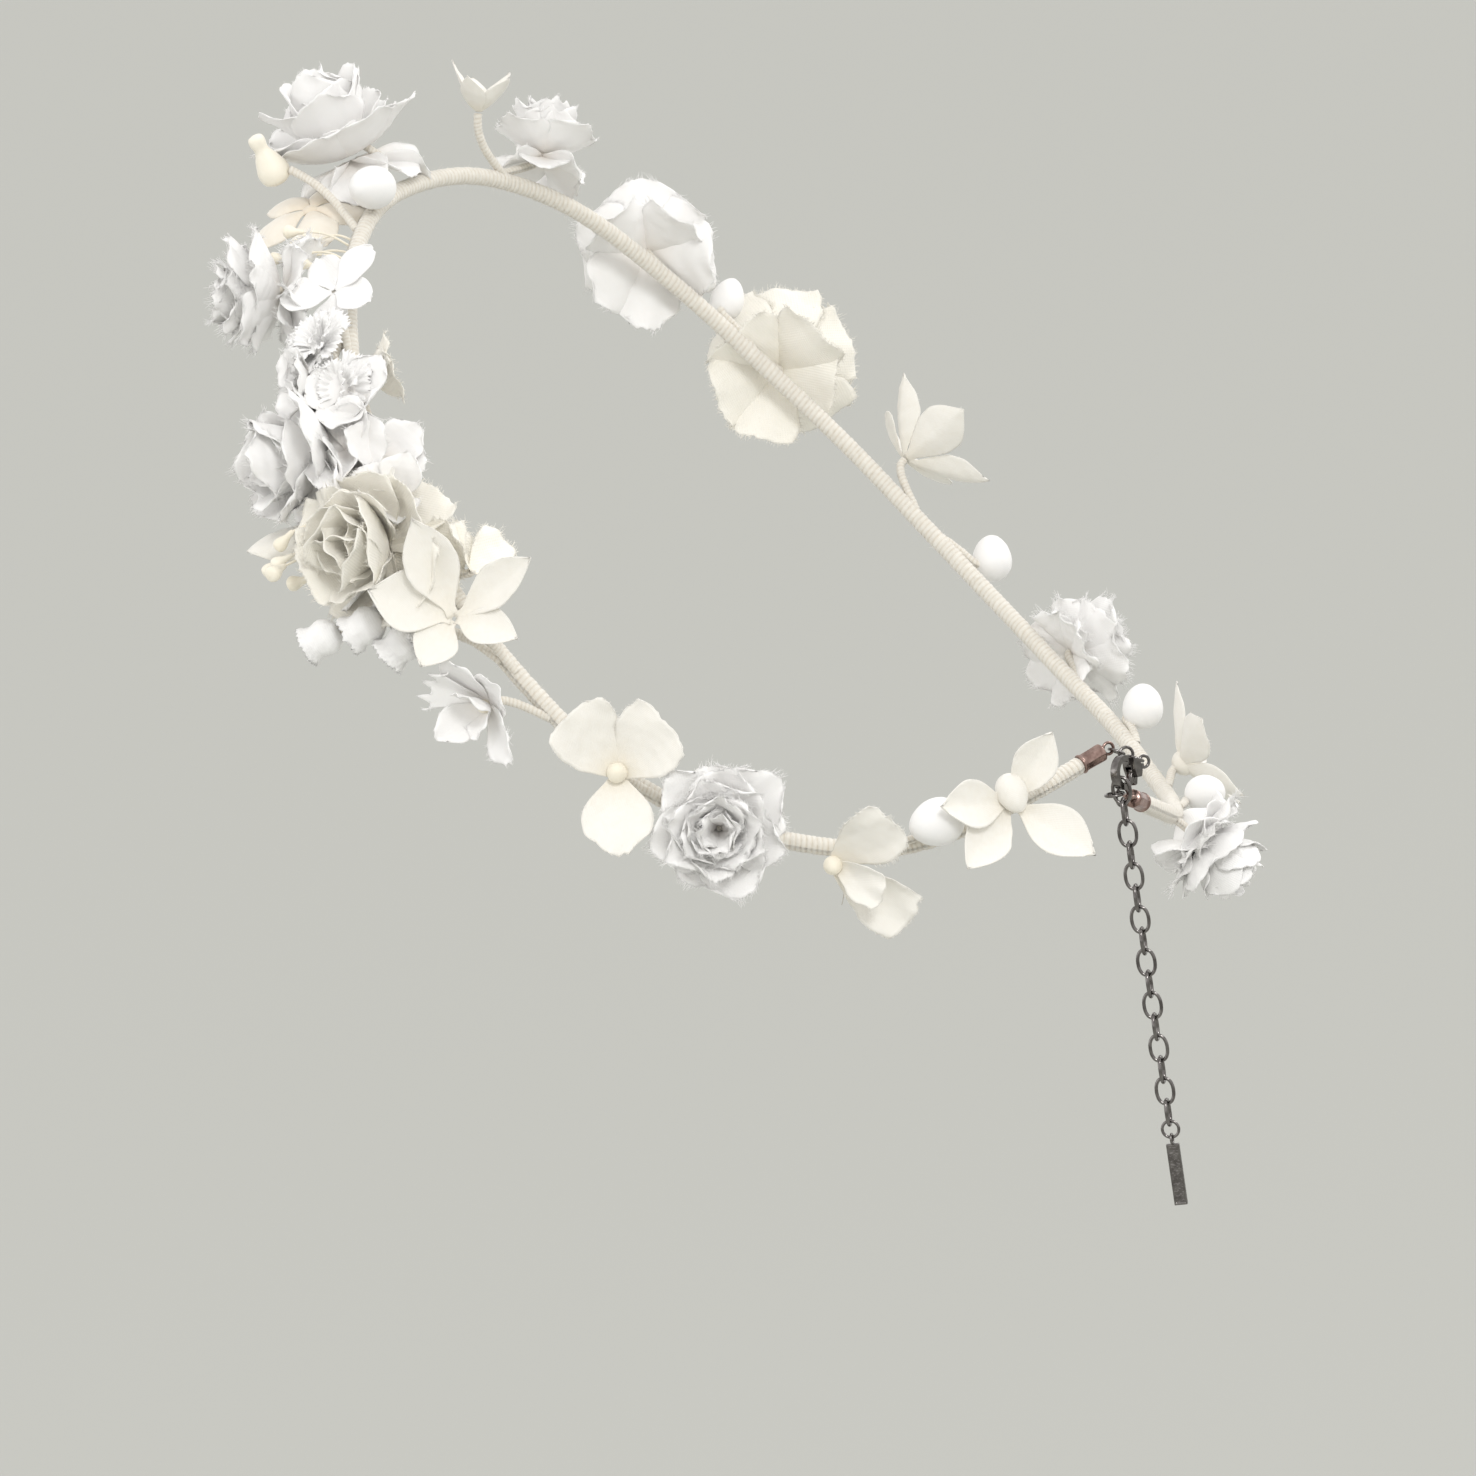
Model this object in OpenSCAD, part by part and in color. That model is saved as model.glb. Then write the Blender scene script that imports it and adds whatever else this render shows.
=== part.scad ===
// Flower crown: a wrapped wire band with fabric flowers, closed at the nape
// by a lobster clasp and an extension chain. Worn position, +Z up, brow at -Y,
// nape at +Y, the wearer's left at +X. Millimetres.

/* [Band] */
// Half of the band's width, temple to temple
half_width = 72.5; // [70:0.5:76]
// Half of its length, brow to nape
half_length = 89; // [86:0.5:92]
// Lean of the ring as it is worn, brow high and nape low, in degrees
lean = 19; // [15:1:22]
// Diameter of the band over its thread wrap
wrap_d = 3.5; // [3:0.1:4]
// Diameter of the wire inside the wrap
wire_d = 1.2; // [1:0.1:1.6]

/* [Clasp and chain] */
// Length of an end cap
cap_len = 5.5; // [5:0.1:6]
// Diameter of an end cap
cap_d = 3.8; // [3.7:0.1:4.2]
// Outer length of a chain link
link_len = 5.7; // [5.5:0.1:6]
// Outer width of a chain link
link_w = 4; // [3.8:0.1:4.2]
// Wire diameter of a chain link
link_wire = 0.7; // [0.6:0.05:0.75]
// Number of links in the extension chain
link_count = 16; // [4:1:16]
// Length of the flat bar at the end of the chain
bar_len = 12; // [10:0.5:14]

/* [Flowers] */
// Size of the flowers against the size drawn here
bloom = 1; // [0.9:0.05:1]
// Thickness of a petal's solid
petal_t = 1.2; // [1:0.1:1.5]
// Diameter of a flower's wire stem
stem_d = 1; // [0.8:0.1:1.2]

/* [Hidden] */
// the ring's outline from the clasp on the right round the brow to the left:
// sideways and lengthways as shares of the half sizes, height in millimetres
right_side = [
    [0.092, 1.037, -24.3], [-0.10, 1.025, -30.5], [-0.22, 1.0, -34], [-0.36, 0.94, -37],
    [-0.51, 0.86, -39.5], [-0.66, 0.74, -40], [-0.8, 0.58, -37.5], [-0.91, 0.38, -33],
    [-0.98, 0.17, -26], [-1, -0.05, -16], [-0.98, -0.27, -4], [-0.91, -0.49, 9],
    [-0.77, -0.7, 24], [-0.55, -0.865, 38], [-0.28, -0.97, 46]
];
brow = [[0, -1, 48]];
left_side = [
    [0.28, -0.97, 46], [0.55, -0.865, 38], [0.77, -0.7, 24], [0.91, -0.49, 9],
    [0.98, -0.27, -4], [1, -0.05, -16], [0.98, 0.16, -26], [0.91, 0.36, -32],
    [0.8, 0.54, -34], [0.66, 0.7, -33.5], [0.51, 0.82, -28.5], [0.36, 0.9, -22],
    [0.19, 0.96, -16]
];
brow_at = len(right_side);
turns_per_span = 3;
ring_sides = 8;
wrap_end_d = 3.1;

function unit(v) = v / norm(v);
function worn(v) = [
    v.x,
    v.y * cos(lean) + v.z * sin(lean),
    -v.y * sin(lean) + v.z * cos(lean)
];
function sized(p) = worn([p.x * half_width, p.y * half_length, p.z]);
route = [for (p = concat(right_side, brow, left_side)) sized(p)];
last_i = len(route) - 1;
ring_up = worn([0, 0, 1]);

// a point of the smooth curve through the route, t counted from the brow
function spline(a, b, c, d, f) = 0.5 * (2 * b + (c - a) * f
    + (2 * a - 5 * b + 4 * c - d) * f * f + (3 * b - a - 3 * c + d) * f * f * f);
function pick(i) = i < 0 ? 2 * route[0] - route[1]
    : i > last_i ? 2 * route[last_i] - route[last_i - 1]
    : route[i];
function band_point(t) = let (
    x = min(max(t + brow_at, 0), last_i),
    i = min(floor(x), last_i - 1)
) spline(pick(i - 1), pick(i), pick(i + 1), pick(i + 2), x - i);
function band_along(t) = unit(band_point(t + 0.05) - band_point(t - 0.05));
function off_line(v, t) = v - (v * band_along(t)) * band_along(t);
function band_out(t) = let (p = band_point(t))
    unit(off_line(p - (p * ring_up) * ring_up, t));
function band_up(t) = let (o = band_out(t), u = off_line(ring_up, t))
    unit(u - (u * o) * o);
// a direction off the band: clock 0 is outward, 90 is up, swing leans it along
function band_way(t, clock, swing = 0) =
    cos(swing) * (cos(clock) * band_out(t) + sin(clock) * band_up(t))
    + sin(swing) * band_along(t);
function band_spot(t, clock, h) = band_point(t) + h * band_way(t, clock);

// the two ends of the band, their directions and the eyes of their caps
t_right = -brow_at;
t_left = len(left_side);
right_end = band_point(t_right);
left_end = band_point(t_left);
right_dir = unit(right_end - band_point(t_right + 0.1));
left_dir = unit(left_end - band_point(t_left - 0.1));
eye_r = 1.1;
eye_wire = 0.6;
eye_gap = 1.15;
cap_grip = 3;
cap_wall = 0.8;
eye_reach = cap_len - cap_grip + eye_gap;
right_eye = right_end + eye_reach * right_dir;
left_eye = left_end + eye_reach * left_dir;

// the short chain of round links from the left cap to the clasp
small_r = 1.5;
small_wire = 0.6;
clasp_at = left_eye + [-6.2, 3.6, -4.1];
small_way = unit(clasp_at - left_eye);
small_yaw = atan2(small_way.y, small_way.x);
small_pitch = -asin(small_way.z);
small_span = norm(clasp_at - left_eye);
small_steps = [0.233, 0.5, 0.767];
function small_at(i) = left_eye + small_steps[i] * small_span * small_way;

// the clasp, drawn with its tail eye at the origin and its hook along +X
hook_x = 8;
hook_z = -0.3;
hook_r_in = 2.2;
hook_r_out = 3.3;
hook_t = 1.5;
neck_t = 1;
cheek_t = 2.6;
slot_t = 1.3;
lever_t = 1.2;
pin_at = [4.2, 0, -0.9];
pin_r = 0.3;
hub_r = 1;
seat_x = 9.38;
seat_z = -0.9;

// the extension chain hangs straight down from the seat in the hook
chain_yaw = 20;
link_gap = 0.1;
link_reach = (link_len - link_wire) / 2;
pitch = link_len - 2 * link_wire - link_gap;
chain_top = clasp_at + [seat_x, 0, seat_z];
function link_at(i) = chain_top - [0, 0, link_reach + i * pitch];
end_ring_r = 1.6;
end_ring_wire = 0.6;
end_ring_at = link_at(link_count - 1)
    - [0, 0, link_reach + end_ring_r - (link_wire + end_ring_wire) / 2 - link_gap];
bar_w = 2.6;
bar_t = 1;
lug_r = 0.95;
lug_wire = 0.5;
lug_at = end_ring_at
    - [0, 0, end_ring_r + lug_r - (end_ring_wire + lug_wire) / 2 - link_gap];

// the two jump rings that join the chain's first link to the right cap
jump_r = 1.75;
jump_wire = 0.6;
jump_2_at = chain_top + [-0.1, -1.7, -3.3];
jump_1_at = jump_2_at + [-2.1, 0.3, -1];

IVORY = "#f1ead9";
WHITE = "#f7f6f4";
CREAM = "#efe2c4";
GUNMETAL = "#4a4646";
COPPER = "#6b5046";

// ---------- placing ----------
// turn local +Z to the direction v
module aim(v, spin = 0) {
    rotate([0, acos(v.z / norm(v)), atan2(v.y, v.x)])
        rotate([0, 0, spin])
            children();
}
// put a flower on the band at h millimetres from its centreline
module on_band(t, clock, h, face, swing = 0, spin = 0) {
    translate(band_spot(t, clock, h))
        aim(band_way(t, face, swing), spin)
            scale(bloom)
                children();
}
// the wire stem from the wrap to a flower's back
module stem(t, clock, h, d = stem_d) {
    root = wire_d / 2 + 0.3;
    translate(band_spot(t, clock, root))
        aim(band_way(t, clock))
            cylinder(h = h - root, r = d / 2, $fn = 16);
}

// ---------- band ----------
steps = last_i * turns_per_span;
function ring_points(r_mid, r_end) = [
    for (k = [0 : steps])
        let (t = k / turns_per_span - brow_at,
            near_end = min(k, steps - k),
            r = near_end < 2 ? r_end : r_mid)
        for (a = [0 : ring_sides - 1])
            band_point(t) + r * band_way(t, 360 * a / ring_sides)
];
function wall_faces(first, turned) = [
    for (k = [0 : steps - 1], a = [0 : ring_sides - 1])
        let (b = (a + 1) % ring_sides,
            p = first + k * ring_sides,
            q = p + ring_sides)
        each turned
            ? [[p + a, q + b, p + b], [p + a, q + a, q + b]]
            : [[p + a, p + b, q + b], [p + a, q + b, q + a]]
];
function lid_faces(outer, inner, turned) = [
    for (a = [0 : ring_sides - 1])
        let (b = (a + 1) % ring_sides)
        each turned
            ? [[outer + a, outer + b, inner + b], [outer + a, inner + b, inner + a]]
            : [[outer + a, inner + b, outer + b], [outer + a, inner + a, inner + b]]
];
module band_wire() {
    last_ring = steps * ring_sides;
    color(GUNMETAL)
        polyhedron(
            points = ring_points(wire_d / 2, wire_d / 2),
            faces = concat(
                wall_faces(0, true),
                [[for (a = [0 : ring_sides - 1]) a]],
                [[for (a = [ring_sides - 1 : -1 : 0]) last_ring + a]]
            )
        );
}
module band_wrap() {
    bore = wire_d / 2 + 0.05;
    count = (steps + 1) * ring_sides;
    last_ring = steps * ring_sides;
    color(IVORY)
        polyhedron(
            points = concat(
                ring_points(wrap_d / 2, wrap_end_d / 2),
                ring_points(bore, bore)
            ),
            faces = concat(
                wall_faces(0, true),
                wall_faces(count, false),
                lid_faces(0, count, true),
                lid_faces(last_ring, count + last_ring, false)
            )
        );
}

// ---------- end caps ----------
module torus(r, wire) {
    rotate_extrude($fn = 48)
        translate([r, 0])
            circle(r = wire / 2, $fn = 24);
}
module end_cap(end, way, eye, eye_turn, eye_tip) {
    color(COPPER)
        union() {
            translate(end - cap_grip * way)
                aim(way)
                    difference() {
                        cylinder(h = cap_len, r = cap_d / 2, $fn = 48);
                        translate([0, 0, -1])
                            cylinder(h = cap_len + 1 - cap_wall,
                                r = wrap_end_d / 2 + 0.15, $fn = 48);
                    }
            translate(eye)
                rotate(eye_turn)
                    rotate([eye_tip, 0, 0])
                        torus(eye_r, eye_wire);
        }
}
module cap_left() {
    end_cap(left_end, left_dir, left_eye, [0, small_pitch, small_yaw], 90);
}
module cap_right() {
    end_cap(right_end, right_dir, right_eye, [0, -23, 0], 0);
}

// ---------- small links, clasp ----------
module clasp_link(i, turn) {
    color(GUNMETAL)
        translate(small_at(i))
            rotate([0, small_pitch, small_yaw])
                rotate([turn, 0, 0])
                    torus(small_r, small_wire);
}
module clasp_link_1() { clasp_link(0, 0); }
module clasp_link_2() { clasp_link(1, 90); }
module clasp_link_3() { clasp_link(2, 0); }

// a flat outline drawn in the clasp's own plane, made t thick about it
module slab(t) {
    rotate([90, 0, 0])
        translate([0, 0, -t / 2])
            linear_extrude(t)
                children();
}
module at_pin() {
    translate(pin_at)
        rotate([90, 0, 0])
            children();
}
// the wedge of the hook's ring from angle a to angle b
module wedge(a, b, reach) {
    polygon([
        [0, 0],
        [reach * cos(a), reach * sin(a)],
        [reach * cos((a + b) / 2), reach * sin((a + b) / 2)] * 1.5,
        [reach * cos(b), reach * sin(b)]
    ]);
}
module hook_ring() {
    difference() {
        circle(r = hook_r_out, $fn = 64);
        circle(r = hook_r_in, $fn = 64);
    }
}
module clasp_body() {
    gate_from = 190;
    gate_to = 272;
    color(GUNMETAL)
        translate(clasp_at)
            difference() {
                union() {
                    slab(hook_t)
                        translate([hook_x, hook_z])
                            difference() {
                                hook_ring();
                                wedge(gate_from, gate_to, 5);
                            }
                    slab(neck_t)
                        polygon([[0.9, -0.75], [0.9, -0.1], [3.1, 0.1], [3.1, -0.9]]);
                    slab(cheek_t)
                        difference() {
                            polygon([[2.9, -1], [2.9, 0.25], [4, 1.6], [5.6, 2],
                                [5.6, -0.2], [5, -1.9], [3.4, -2.1]]);
                            translate([hook_x, hook_z])
                                circle(r = hook_r_in, $fn = 64);
                        }
                    rotate([0, small_pitch, small_yaw])
                        rotate([90, 0, 0])
                            torus(eye_r, eye_wire);
                }
                slab(slot_t)
                    polygon([[3.1, -3], [3.1, -0.3], [3.7, 0.4], [4.8, 0.5], [7, 0], [7, -3]]);
                at_pin()
                    cylinder(h = 4, r = pin_r, center = true, $fn = 32);
            }
}
module clasp_pin() {
    color(GUNMETAL)
        translate(clasp_at)
            at_pin()
                cylinder(h = cheek_t, r = pin_r, center = true, $fn = 32);
}
module clasp_spring() {
    coil_r = 0.47;
    coil_wire = 0.18;
    color("silver")
        translate(clasp_at)
            at_pin()
                for (i = [-1 : 1])
                    translate([0, 0, i * 0.24])
                        torus(coil_r, coil_wire);
}
module clasp_trigger() {
    lever_from = 196;
    lever_to = 258;
    color(GUNMETAL)
        translate(clasp_at)
            difference() {
                slab(lever_t)
                    union() {
                        translate([hook_x, hook_z])
                            intersection() {
                                hook_ring();
                                wedge(lever_from, lever_to, 5);
                            }
                        translate([pin_at.x, pin_at.z])
                            circle(r = hub_r, $fn = 48);
                        polygon([[3.7, -1.7], [4.3, -3.4], [5, -3.5], [5.9, -2.6], [5.3, -1.1]]);
                    }
                at_pin() {
                    cylinder(h = 4, r = pin_r + 0.03, center = true, $fn = 32);
                    cylinder(h = 0.8, r = 0.62, center = true, $fn = 32);
                }
            }
}

// ---------- extension chain ----------
module oval(w, len, wire) {
    r = (w - wire) / 2;
    straight = len - w;
    rotate([90, 0, 0])
        for (side = [0, 1])
            mirror([0, side, 0]) {
                translate([0, straight / 2, 0])
                    rotate_extrude(angle = 180, $fn = 48)
                        translate([r, 0])
                            circle(r = wire / 2, $fn = 24);
                for (x = [-r, r])
                    translate([x, 0, 0])
                        rotate([-90, 0, 0])
                            cylinder(h = straight / 2, r = wire / 2, $fn = 24);
            }
}
module chain_link(i) {
    if (i < link_count)
        color(GUNMETAL)
            translate(link_at(i))
                rotate([0, 0, chain_yaw + (i % 2 == 0 ? 90 : 0)])
                    oval(link_w, link_len, link_wire);
}
module chain_link_01() { chain_link(0); }
module chain_link_02() { chain_link(1); }
module chain_link_03() { chain_link(2); }
module chain_link_04() { chain_link(3); }
module chain_link_05() { chain_link(4); }
module chain_link_06() { chain_link(5); }
module chain_link_07() { chain_link(6); }
module chain_link_08() { chain_link(7); }
module chain_link_09() { chain_link(8); }
module chain_link_10() { chain_link(9); }
module chain_link_11() { chain_link(10); }
module chain_link_12() { chain_link(11); }
module chain_link_13() { chain_link(12); }
module chain_link_14() { chain_link(13); }
module chain_link_15() { chain_link(14); }
module chain_link_16() { chain_link(15); }
module end_ring() {
    color(GUNMETAL)
        translate(end_ring_at)
            rotate([90, 0, chain_yaw + (link_count % 2 == 0 ? 90 : 0)])
                torus(end_ring_r, end_ring_wire);
}
module end_bar() {
    rim = 0.4;
    recess = 0.2;
    top = -lug_r;
    color(GUNMETAL)
        translate(lug_at)
            rotate([0, 0, chain_yaw + (link_count % 2 == 0 ? 0 : 90)])
                union() {
                    rotate([90, 0, 0])
                        torus(lug_r, lug_wire);
                    difference() {
                        translate([-bar_t / 2, -bar_w / 2, top - bar_len])
                            cube([bar_t, bar_w, bar_len]);
                        for (face = [bar_t / 2 - recess, -bar_t / 2 - recess])
                            translate([face, rim - bar_w / 2, top - bar_len + rim])
                                cube([2 * recess, bar_w - 2 * rim, bar_len - 2 * rim]);
                    }
                }
}
module jump_ring_1() {
    color(GUNMETAL)
        translate(jump_1_at)
            rotate([90, 0, -8.8])
                torus(jump_r, jump_wire);
}
module jump_ring_2() {
    color(GUNMETAL)
        translate(jump_2_at)
            torus(jump_r, jump_wire);
}

// ---------- flower solids ----------
// a pointed petal lying along +X
module petal(len, w) {
    R = (len * len + w * w) / (4 * w);
    linear_extrude(petal_t)
        intersection() {
            translate([len / 2, R - w / 2])
                circle(r = R, $fn = 96);
            translate([len / 2, -R + w / 2])
                circle(r = R, $fn = 96);
        }
}
// one petal on its stem, lifted off the flat, its root past the stem's end
module lone_petal(len, w, lift) {
    rotate([0, -lift, 0])
        translate([-1.5, 0, -petal_t / 2])
            petal(len, w);
}
// petals round a small centre, their tips at radius r
module blossom(n, r, w, lift, start = 0.12) {
    inner = r * start;
    sphere(r = r * 0.17, $fn = 32);
    for (i = [0 : n - 1])
        rotate([0, 0, 360 * i / n])
            translate([inner, 0, -petal_t / 2])
                rotate([0, -lift, 0])
                    petal((r - inner) / cos(lift), w);
}
// a shallow drooping cone, as wide as a blossom whose petals fold back
module parasol(r, drop) {
    half_t = petal_t / 2;
    rotate_extrude($fn = 64)
        polygon([[0, -half_t], [0.3 * r, -half_t], [r, -drop - half_t],
            [r, -drop + half_t], [0.3 * r, half_t], [0, half_t]]);
}
// a closed cup, as wide as an open rose, its back at the origin
module rose(r) {
    rotate_extrude($fn = 64)
        polygon([[0, 0], [0.35 * r, 0], [0.85 * r, 0.35 * r], [r, 0.65 * r],
            [0.75 * r, 0.95 * r], [0.3 * r, 1.05 * r], [0, 1.05 * r]]);
}
// an egg-shaped bud standing on the origin
module bud(r, len) {
    rotate_extrude($fn = 48)
        intersection() {
            translate([0, -1])
                square([r + 1, len + 2]);
            translate([0, len / 2])
                scale([1, 1])
                    polygon([for (a = [-90 : 15 : 90])
                        [r * cos(a) * (1 - 0.18 * sin(a)), len / 2 * sin(a)]]);
        }
}
// a small bell-shaped bud with its mouth up
module bell(r, len) {
    rotate_extrude($fn = 48)
        polygon([[0, 0], [0.45 * r, 0.1 * len], [0.9 * r, 0.5 * len], [r, len],
            [0.6 * r, 0.9 * len], [0, 0.8 * len]]);
}

// ---------- flowers ----------
// a shape on its stem, h millimetres off the band's centreline
module bloom_on(t, clock, h, face, swing = 0, spin = 0) {
    union() {
        on_band(t, clock, h, face, swing, spin)
            children();
        stem(t, clock, h);
    }
}
module cup_on(t, clock, h, face, r, swing = 0) {
    bloom_on(t, clock, h, face, swing)
        translate([0, 0, -r / 2])
            rose(r);
}
module bud_on(t, clock, h, face, r, len, swing = 0) {
    bloom_on(t, clock, h, face, swing)
        translate([0, 0, -len / 2])
            bud(r, len);
}
// a spray of round tips, each [t, clock, height]
module pips_on(spots, r) {
    for (s = spots)
        union() {
            translate(band_spot(s[0], s[1], s[2]))
                sphere(r = r, $fn = 24);
            stem(s[0], s[1], s[2], 0.6);
        }
}
module crest_rose() {
    color(WHITE) cup_on(0.3, 32, 19, 62, 11.5);
}
module ivory_bud() {
    color(CREAM) bud_on(0.9, 14, 24, 57, 3.4, 11);
}
module satin_blossom() {
    color(CREAM) bloom_on(1, -8, 13, 75) parasol(9.5, 4.5);
}
module egg_buds() {
    color(WHITE) {
        bud_on(1.08, 90, 7, 60, 4.2, 11, 60);
        bud_on(10.6, 50, 8, 30, 4.5, 11, -60);
    }
}
module brow_gauze_rose() {
    color(WHITE) cup_on(2.1, -2, 18, 0, 9.5);
}
module brow_pips() {
    color(IVORY)
        pips_on([[1.55, 8, 13], [1.7, -8, 15], [1.75, 16, 11], [1.6, -20, 12],
            [1.85, 4, 9], [1.45, -6, 10]], 1.3);
}
module brow_blossom() {
    color(WHITE) bloom_on(2.3, 62, 7, 60) blossom(5, 8.5, 7, 16);
}
module florets() {
    color(WHITE) {
        bloom_on(2.75, 38, 8, 45, -10) bell(3.6, 6);
        bloom_on(2.9, 4, 8, 10) bell(3.6, 6);
        bloom_on(3.12, 44, 6, 50, 15) bell(3.6, 6);
    }
}
module frayed_petals() {
    color(CREAM) {
        bloom_on(3.0, 115, 4, 150) lone_petal(10, 9, 80);
        bloom_on(4.95, 95, 7, 120) lone_petal(11, 8, 85);
    }
}
module silk_rose() {
    color(WHITE) cup_on(3.45, -14, 13, -6, 11);
}
module leaf_petals() {
    color(IVORY) {
        bloom_on(3.8, 42, 4, 60, 20) lone_petal(11, 5.5, 50);
        bloom_on(3.85, -50, 16, -42) lone_petal(14, 7, 75);
    }
}
module mesh_rose() {
    color(CREAM) cup_on(4.42, 10, 12, 20, 11);
}
module temple_pips() {
    color(IVORY)
        pips_on([[4.05, -30, 25], [4.15, -24, 27], [4.2, -36, 24], [4.0, -38, 27],
            [3.95, -26, 23]], 1.3);
}
module lily() {
    color(IVORY) bloom_on(5.4, 42, 9, 50, 0, 30) blossom(5, 15, 7, 25);
}
module bell_buds() {
    color(WHITE) {
        bloom_on(4.7, -34, 22, -50, -10) bell(3.5, 7);
        bloom_on(4.85, -20, 15, -60, -10) bell(3.5, 7);
        bloom_on(5.12, -14, 12, -60) bell(3.5, 7);
        bloom_on(5.25, 0, 8, -50, -10) bell(3.3, 6);
    }
}
module small_blossom() {
    color(WHITE) bloom_on(5.9, -28, 9, -10, 0, 5) blossom(5, 8.6, 6.2, 27);
}
module three_petal_blossom() {
    color(IVORY) bloom_on(7.15, 20, 6, 35, 0, 10) blossom(3, 14, 11, 14);
}
module ear_gauze_rose() {
    color(WHITE) cup_on(8.25, 14, 9, 14, 9.5);
}
module two_petal_blossom() {
    color(IVORY) bloom_on(9.75, -5, 5, 0, 0, 100) blossom(3, 12, 9, 30);
}
module star_blossom() {
    color(IVORY) bloom_on(11.6, 40, 6, 40, 0, 20) blossom(5, 14.5, 8, 16);
}
module nape_rose() {
    color(WHITE) cup_on(-12.9, -30, 11, -30, 8.5);
}
module right_pointed_blossom() {
    color(IVORY) bloom_on(-0.75, 82, 13, 80) blossom(5, 9, 5, 30);
}
module right_ruffle_rose() {
    color(WHITE) cup_on(-1.55, 66, 11, 66, 7.5);
}
module right_silk_rose() {
    color(WHITE) cup_on(-2.8, 8, 13, 10, 11);
}
module right_mesh_rose() {
    color(CREAM) cup_on(-4.1, 0, 12, 4, 11);
}
module right_lily() {
    color(IVORY) bloom_on(-5.35, 30, 8, 40, 0, 30) blossom(5, 14, 7, 25);
}
module right_gauze_rose() {
    color(WHITE) cup_on(-7.8, 10, 9, 12, 9.5);
}
module right_star_blossom() {
    color(IVORY) bloom_on(-10.2, 30, 6, 34, 0, 20) blossom(5, 15, 8, 16);
}
module right_buds() {
    color(WHITE) {
        bud_on(-1.95, 10, 12, 40, 3.6, 9);
        bud_on(-3.45, 30, 8, 60, 3.4, 9, 20);
        bud_on(-6.5, 10, 8, 30, 4, 10, 50);
        bud_on(-9, 40, 7, 40, 4, 10, 60);
        bud_on(-11.6, 30, 7, 30, 3.6, 9, -50);
    }
}

// ---------- what is drawn ----------
band_wire();
band_wrap();
cap_left();
cap_right();
clasp_link_1();
clasp_link_2();
clasp_link_3();
clasp_body();
clasp_pin();
clasp_spring();
clasp_trigger();
jump_ring_1();
jump_ring_2();
chain_link_01();
chain_link_02();
chain_link_03();
chain_link_04();
chain_link_05();
chain_link_06();
chain_link_07();
chain_link_08();
chain_link_09();
chain_link_10();
chain_link_11();
chain_link_12();
chain_link_13();
chain_link_14();
chain_link_15();
chain_link_16();
end_ring();
end_bar();
crest_rose();
ivory_bud();
satin_blossom();
egg_buds();
brow_gauze_rose();
brow_pips();
brow_blossom();
florets();
frayed_petals();
silk_rose();
leaf_petals();
mesh_rose();
temple_pips();
lily();
bell_buds();
small_blossom();
three_petal_blossom();
ear_gauze_rose();
two_petal_blossom();
star_blossom();
nape_rose();
right_pointed_blossom();
right_ruffle_rose();
right_silk_rose();
right_mesh_rose();
right_lily();
right_gauze_rose();
right_star_blossom();
right_buds();
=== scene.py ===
"""Flower crown: fabric flowers, a thread-wound band and a hanging chain, built on the CAD frame.

Lengths are millimetres until a mesh is made, where MM turns them into metres.
"""
import math

import bpy
import numpy as np
from mathutils import Matrix, Vector


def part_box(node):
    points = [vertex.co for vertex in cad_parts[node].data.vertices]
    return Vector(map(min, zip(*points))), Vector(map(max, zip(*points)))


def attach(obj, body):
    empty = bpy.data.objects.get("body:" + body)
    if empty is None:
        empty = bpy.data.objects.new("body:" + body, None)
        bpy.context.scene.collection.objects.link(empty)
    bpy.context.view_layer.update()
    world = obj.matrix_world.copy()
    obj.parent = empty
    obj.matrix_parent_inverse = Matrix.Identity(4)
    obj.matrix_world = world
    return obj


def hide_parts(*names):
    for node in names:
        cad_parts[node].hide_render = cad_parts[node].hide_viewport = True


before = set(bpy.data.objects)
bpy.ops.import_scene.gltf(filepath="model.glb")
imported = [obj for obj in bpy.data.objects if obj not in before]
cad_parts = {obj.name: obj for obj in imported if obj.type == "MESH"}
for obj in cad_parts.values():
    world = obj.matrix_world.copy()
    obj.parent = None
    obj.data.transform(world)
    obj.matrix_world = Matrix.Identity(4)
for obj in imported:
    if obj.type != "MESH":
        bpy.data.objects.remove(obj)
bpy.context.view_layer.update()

MM = 0.001
TAU = 2 * math.pi
rad = math.radians
CROWN = "crown"


# ---------- camera ----------
LOOK_AT = Vector((0, -13.7, -39.7)) * MM
CAMERA_AZIMUTH, CAMERA_HEIGHT, CAMERA_ROLL = rad(124.32), rad(9.81), rad(-8.63)
CAMERA_DISTANCE = 1.8
SENSOR = 36.0
VIEW_WIDTH = 0.2894


def add_camera():
    """The photograph's view: from the wearer's left and a little behind."""
    back = Vector((
        math.sin(CAMERA_AZIMUTH) * math.cos(CAMERA_HEIGHT),
        -math.cos(CAMERA_AZIMUTH) * math.cos(CAMERA_HEIGHT),
        math.sin(CAMERA_HEIGHT),
    ))
    right = Vector((0, 0, 1)).cross(back).normalized()
    up = back.cross(right)
    turn = Matrix.Rotation(CAMERA_ROLL, 3, back)
    right, up = turn @ right, turn @ up
    data = bpy.data.cameras.new("camera")
    data.sensor_width = SENSOR
    data.lens = SENSOR * CAMERA_DISTANCE / VIEW_WIDTH
    data.clip_end = 50
    camera = bpy.data.objects.new("camera", data)
    columns = Matrix((right, up, back)).transposed()
    camera.matrix_world = Matrix.Translation(LOOK_AT + CAMERA_DISTANCE * back) @ columns.to_4x4()
    bpy.context.scene.collection.objects.link(camera)
    bpy.context.scene.camera = camera


add_camera()


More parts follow.
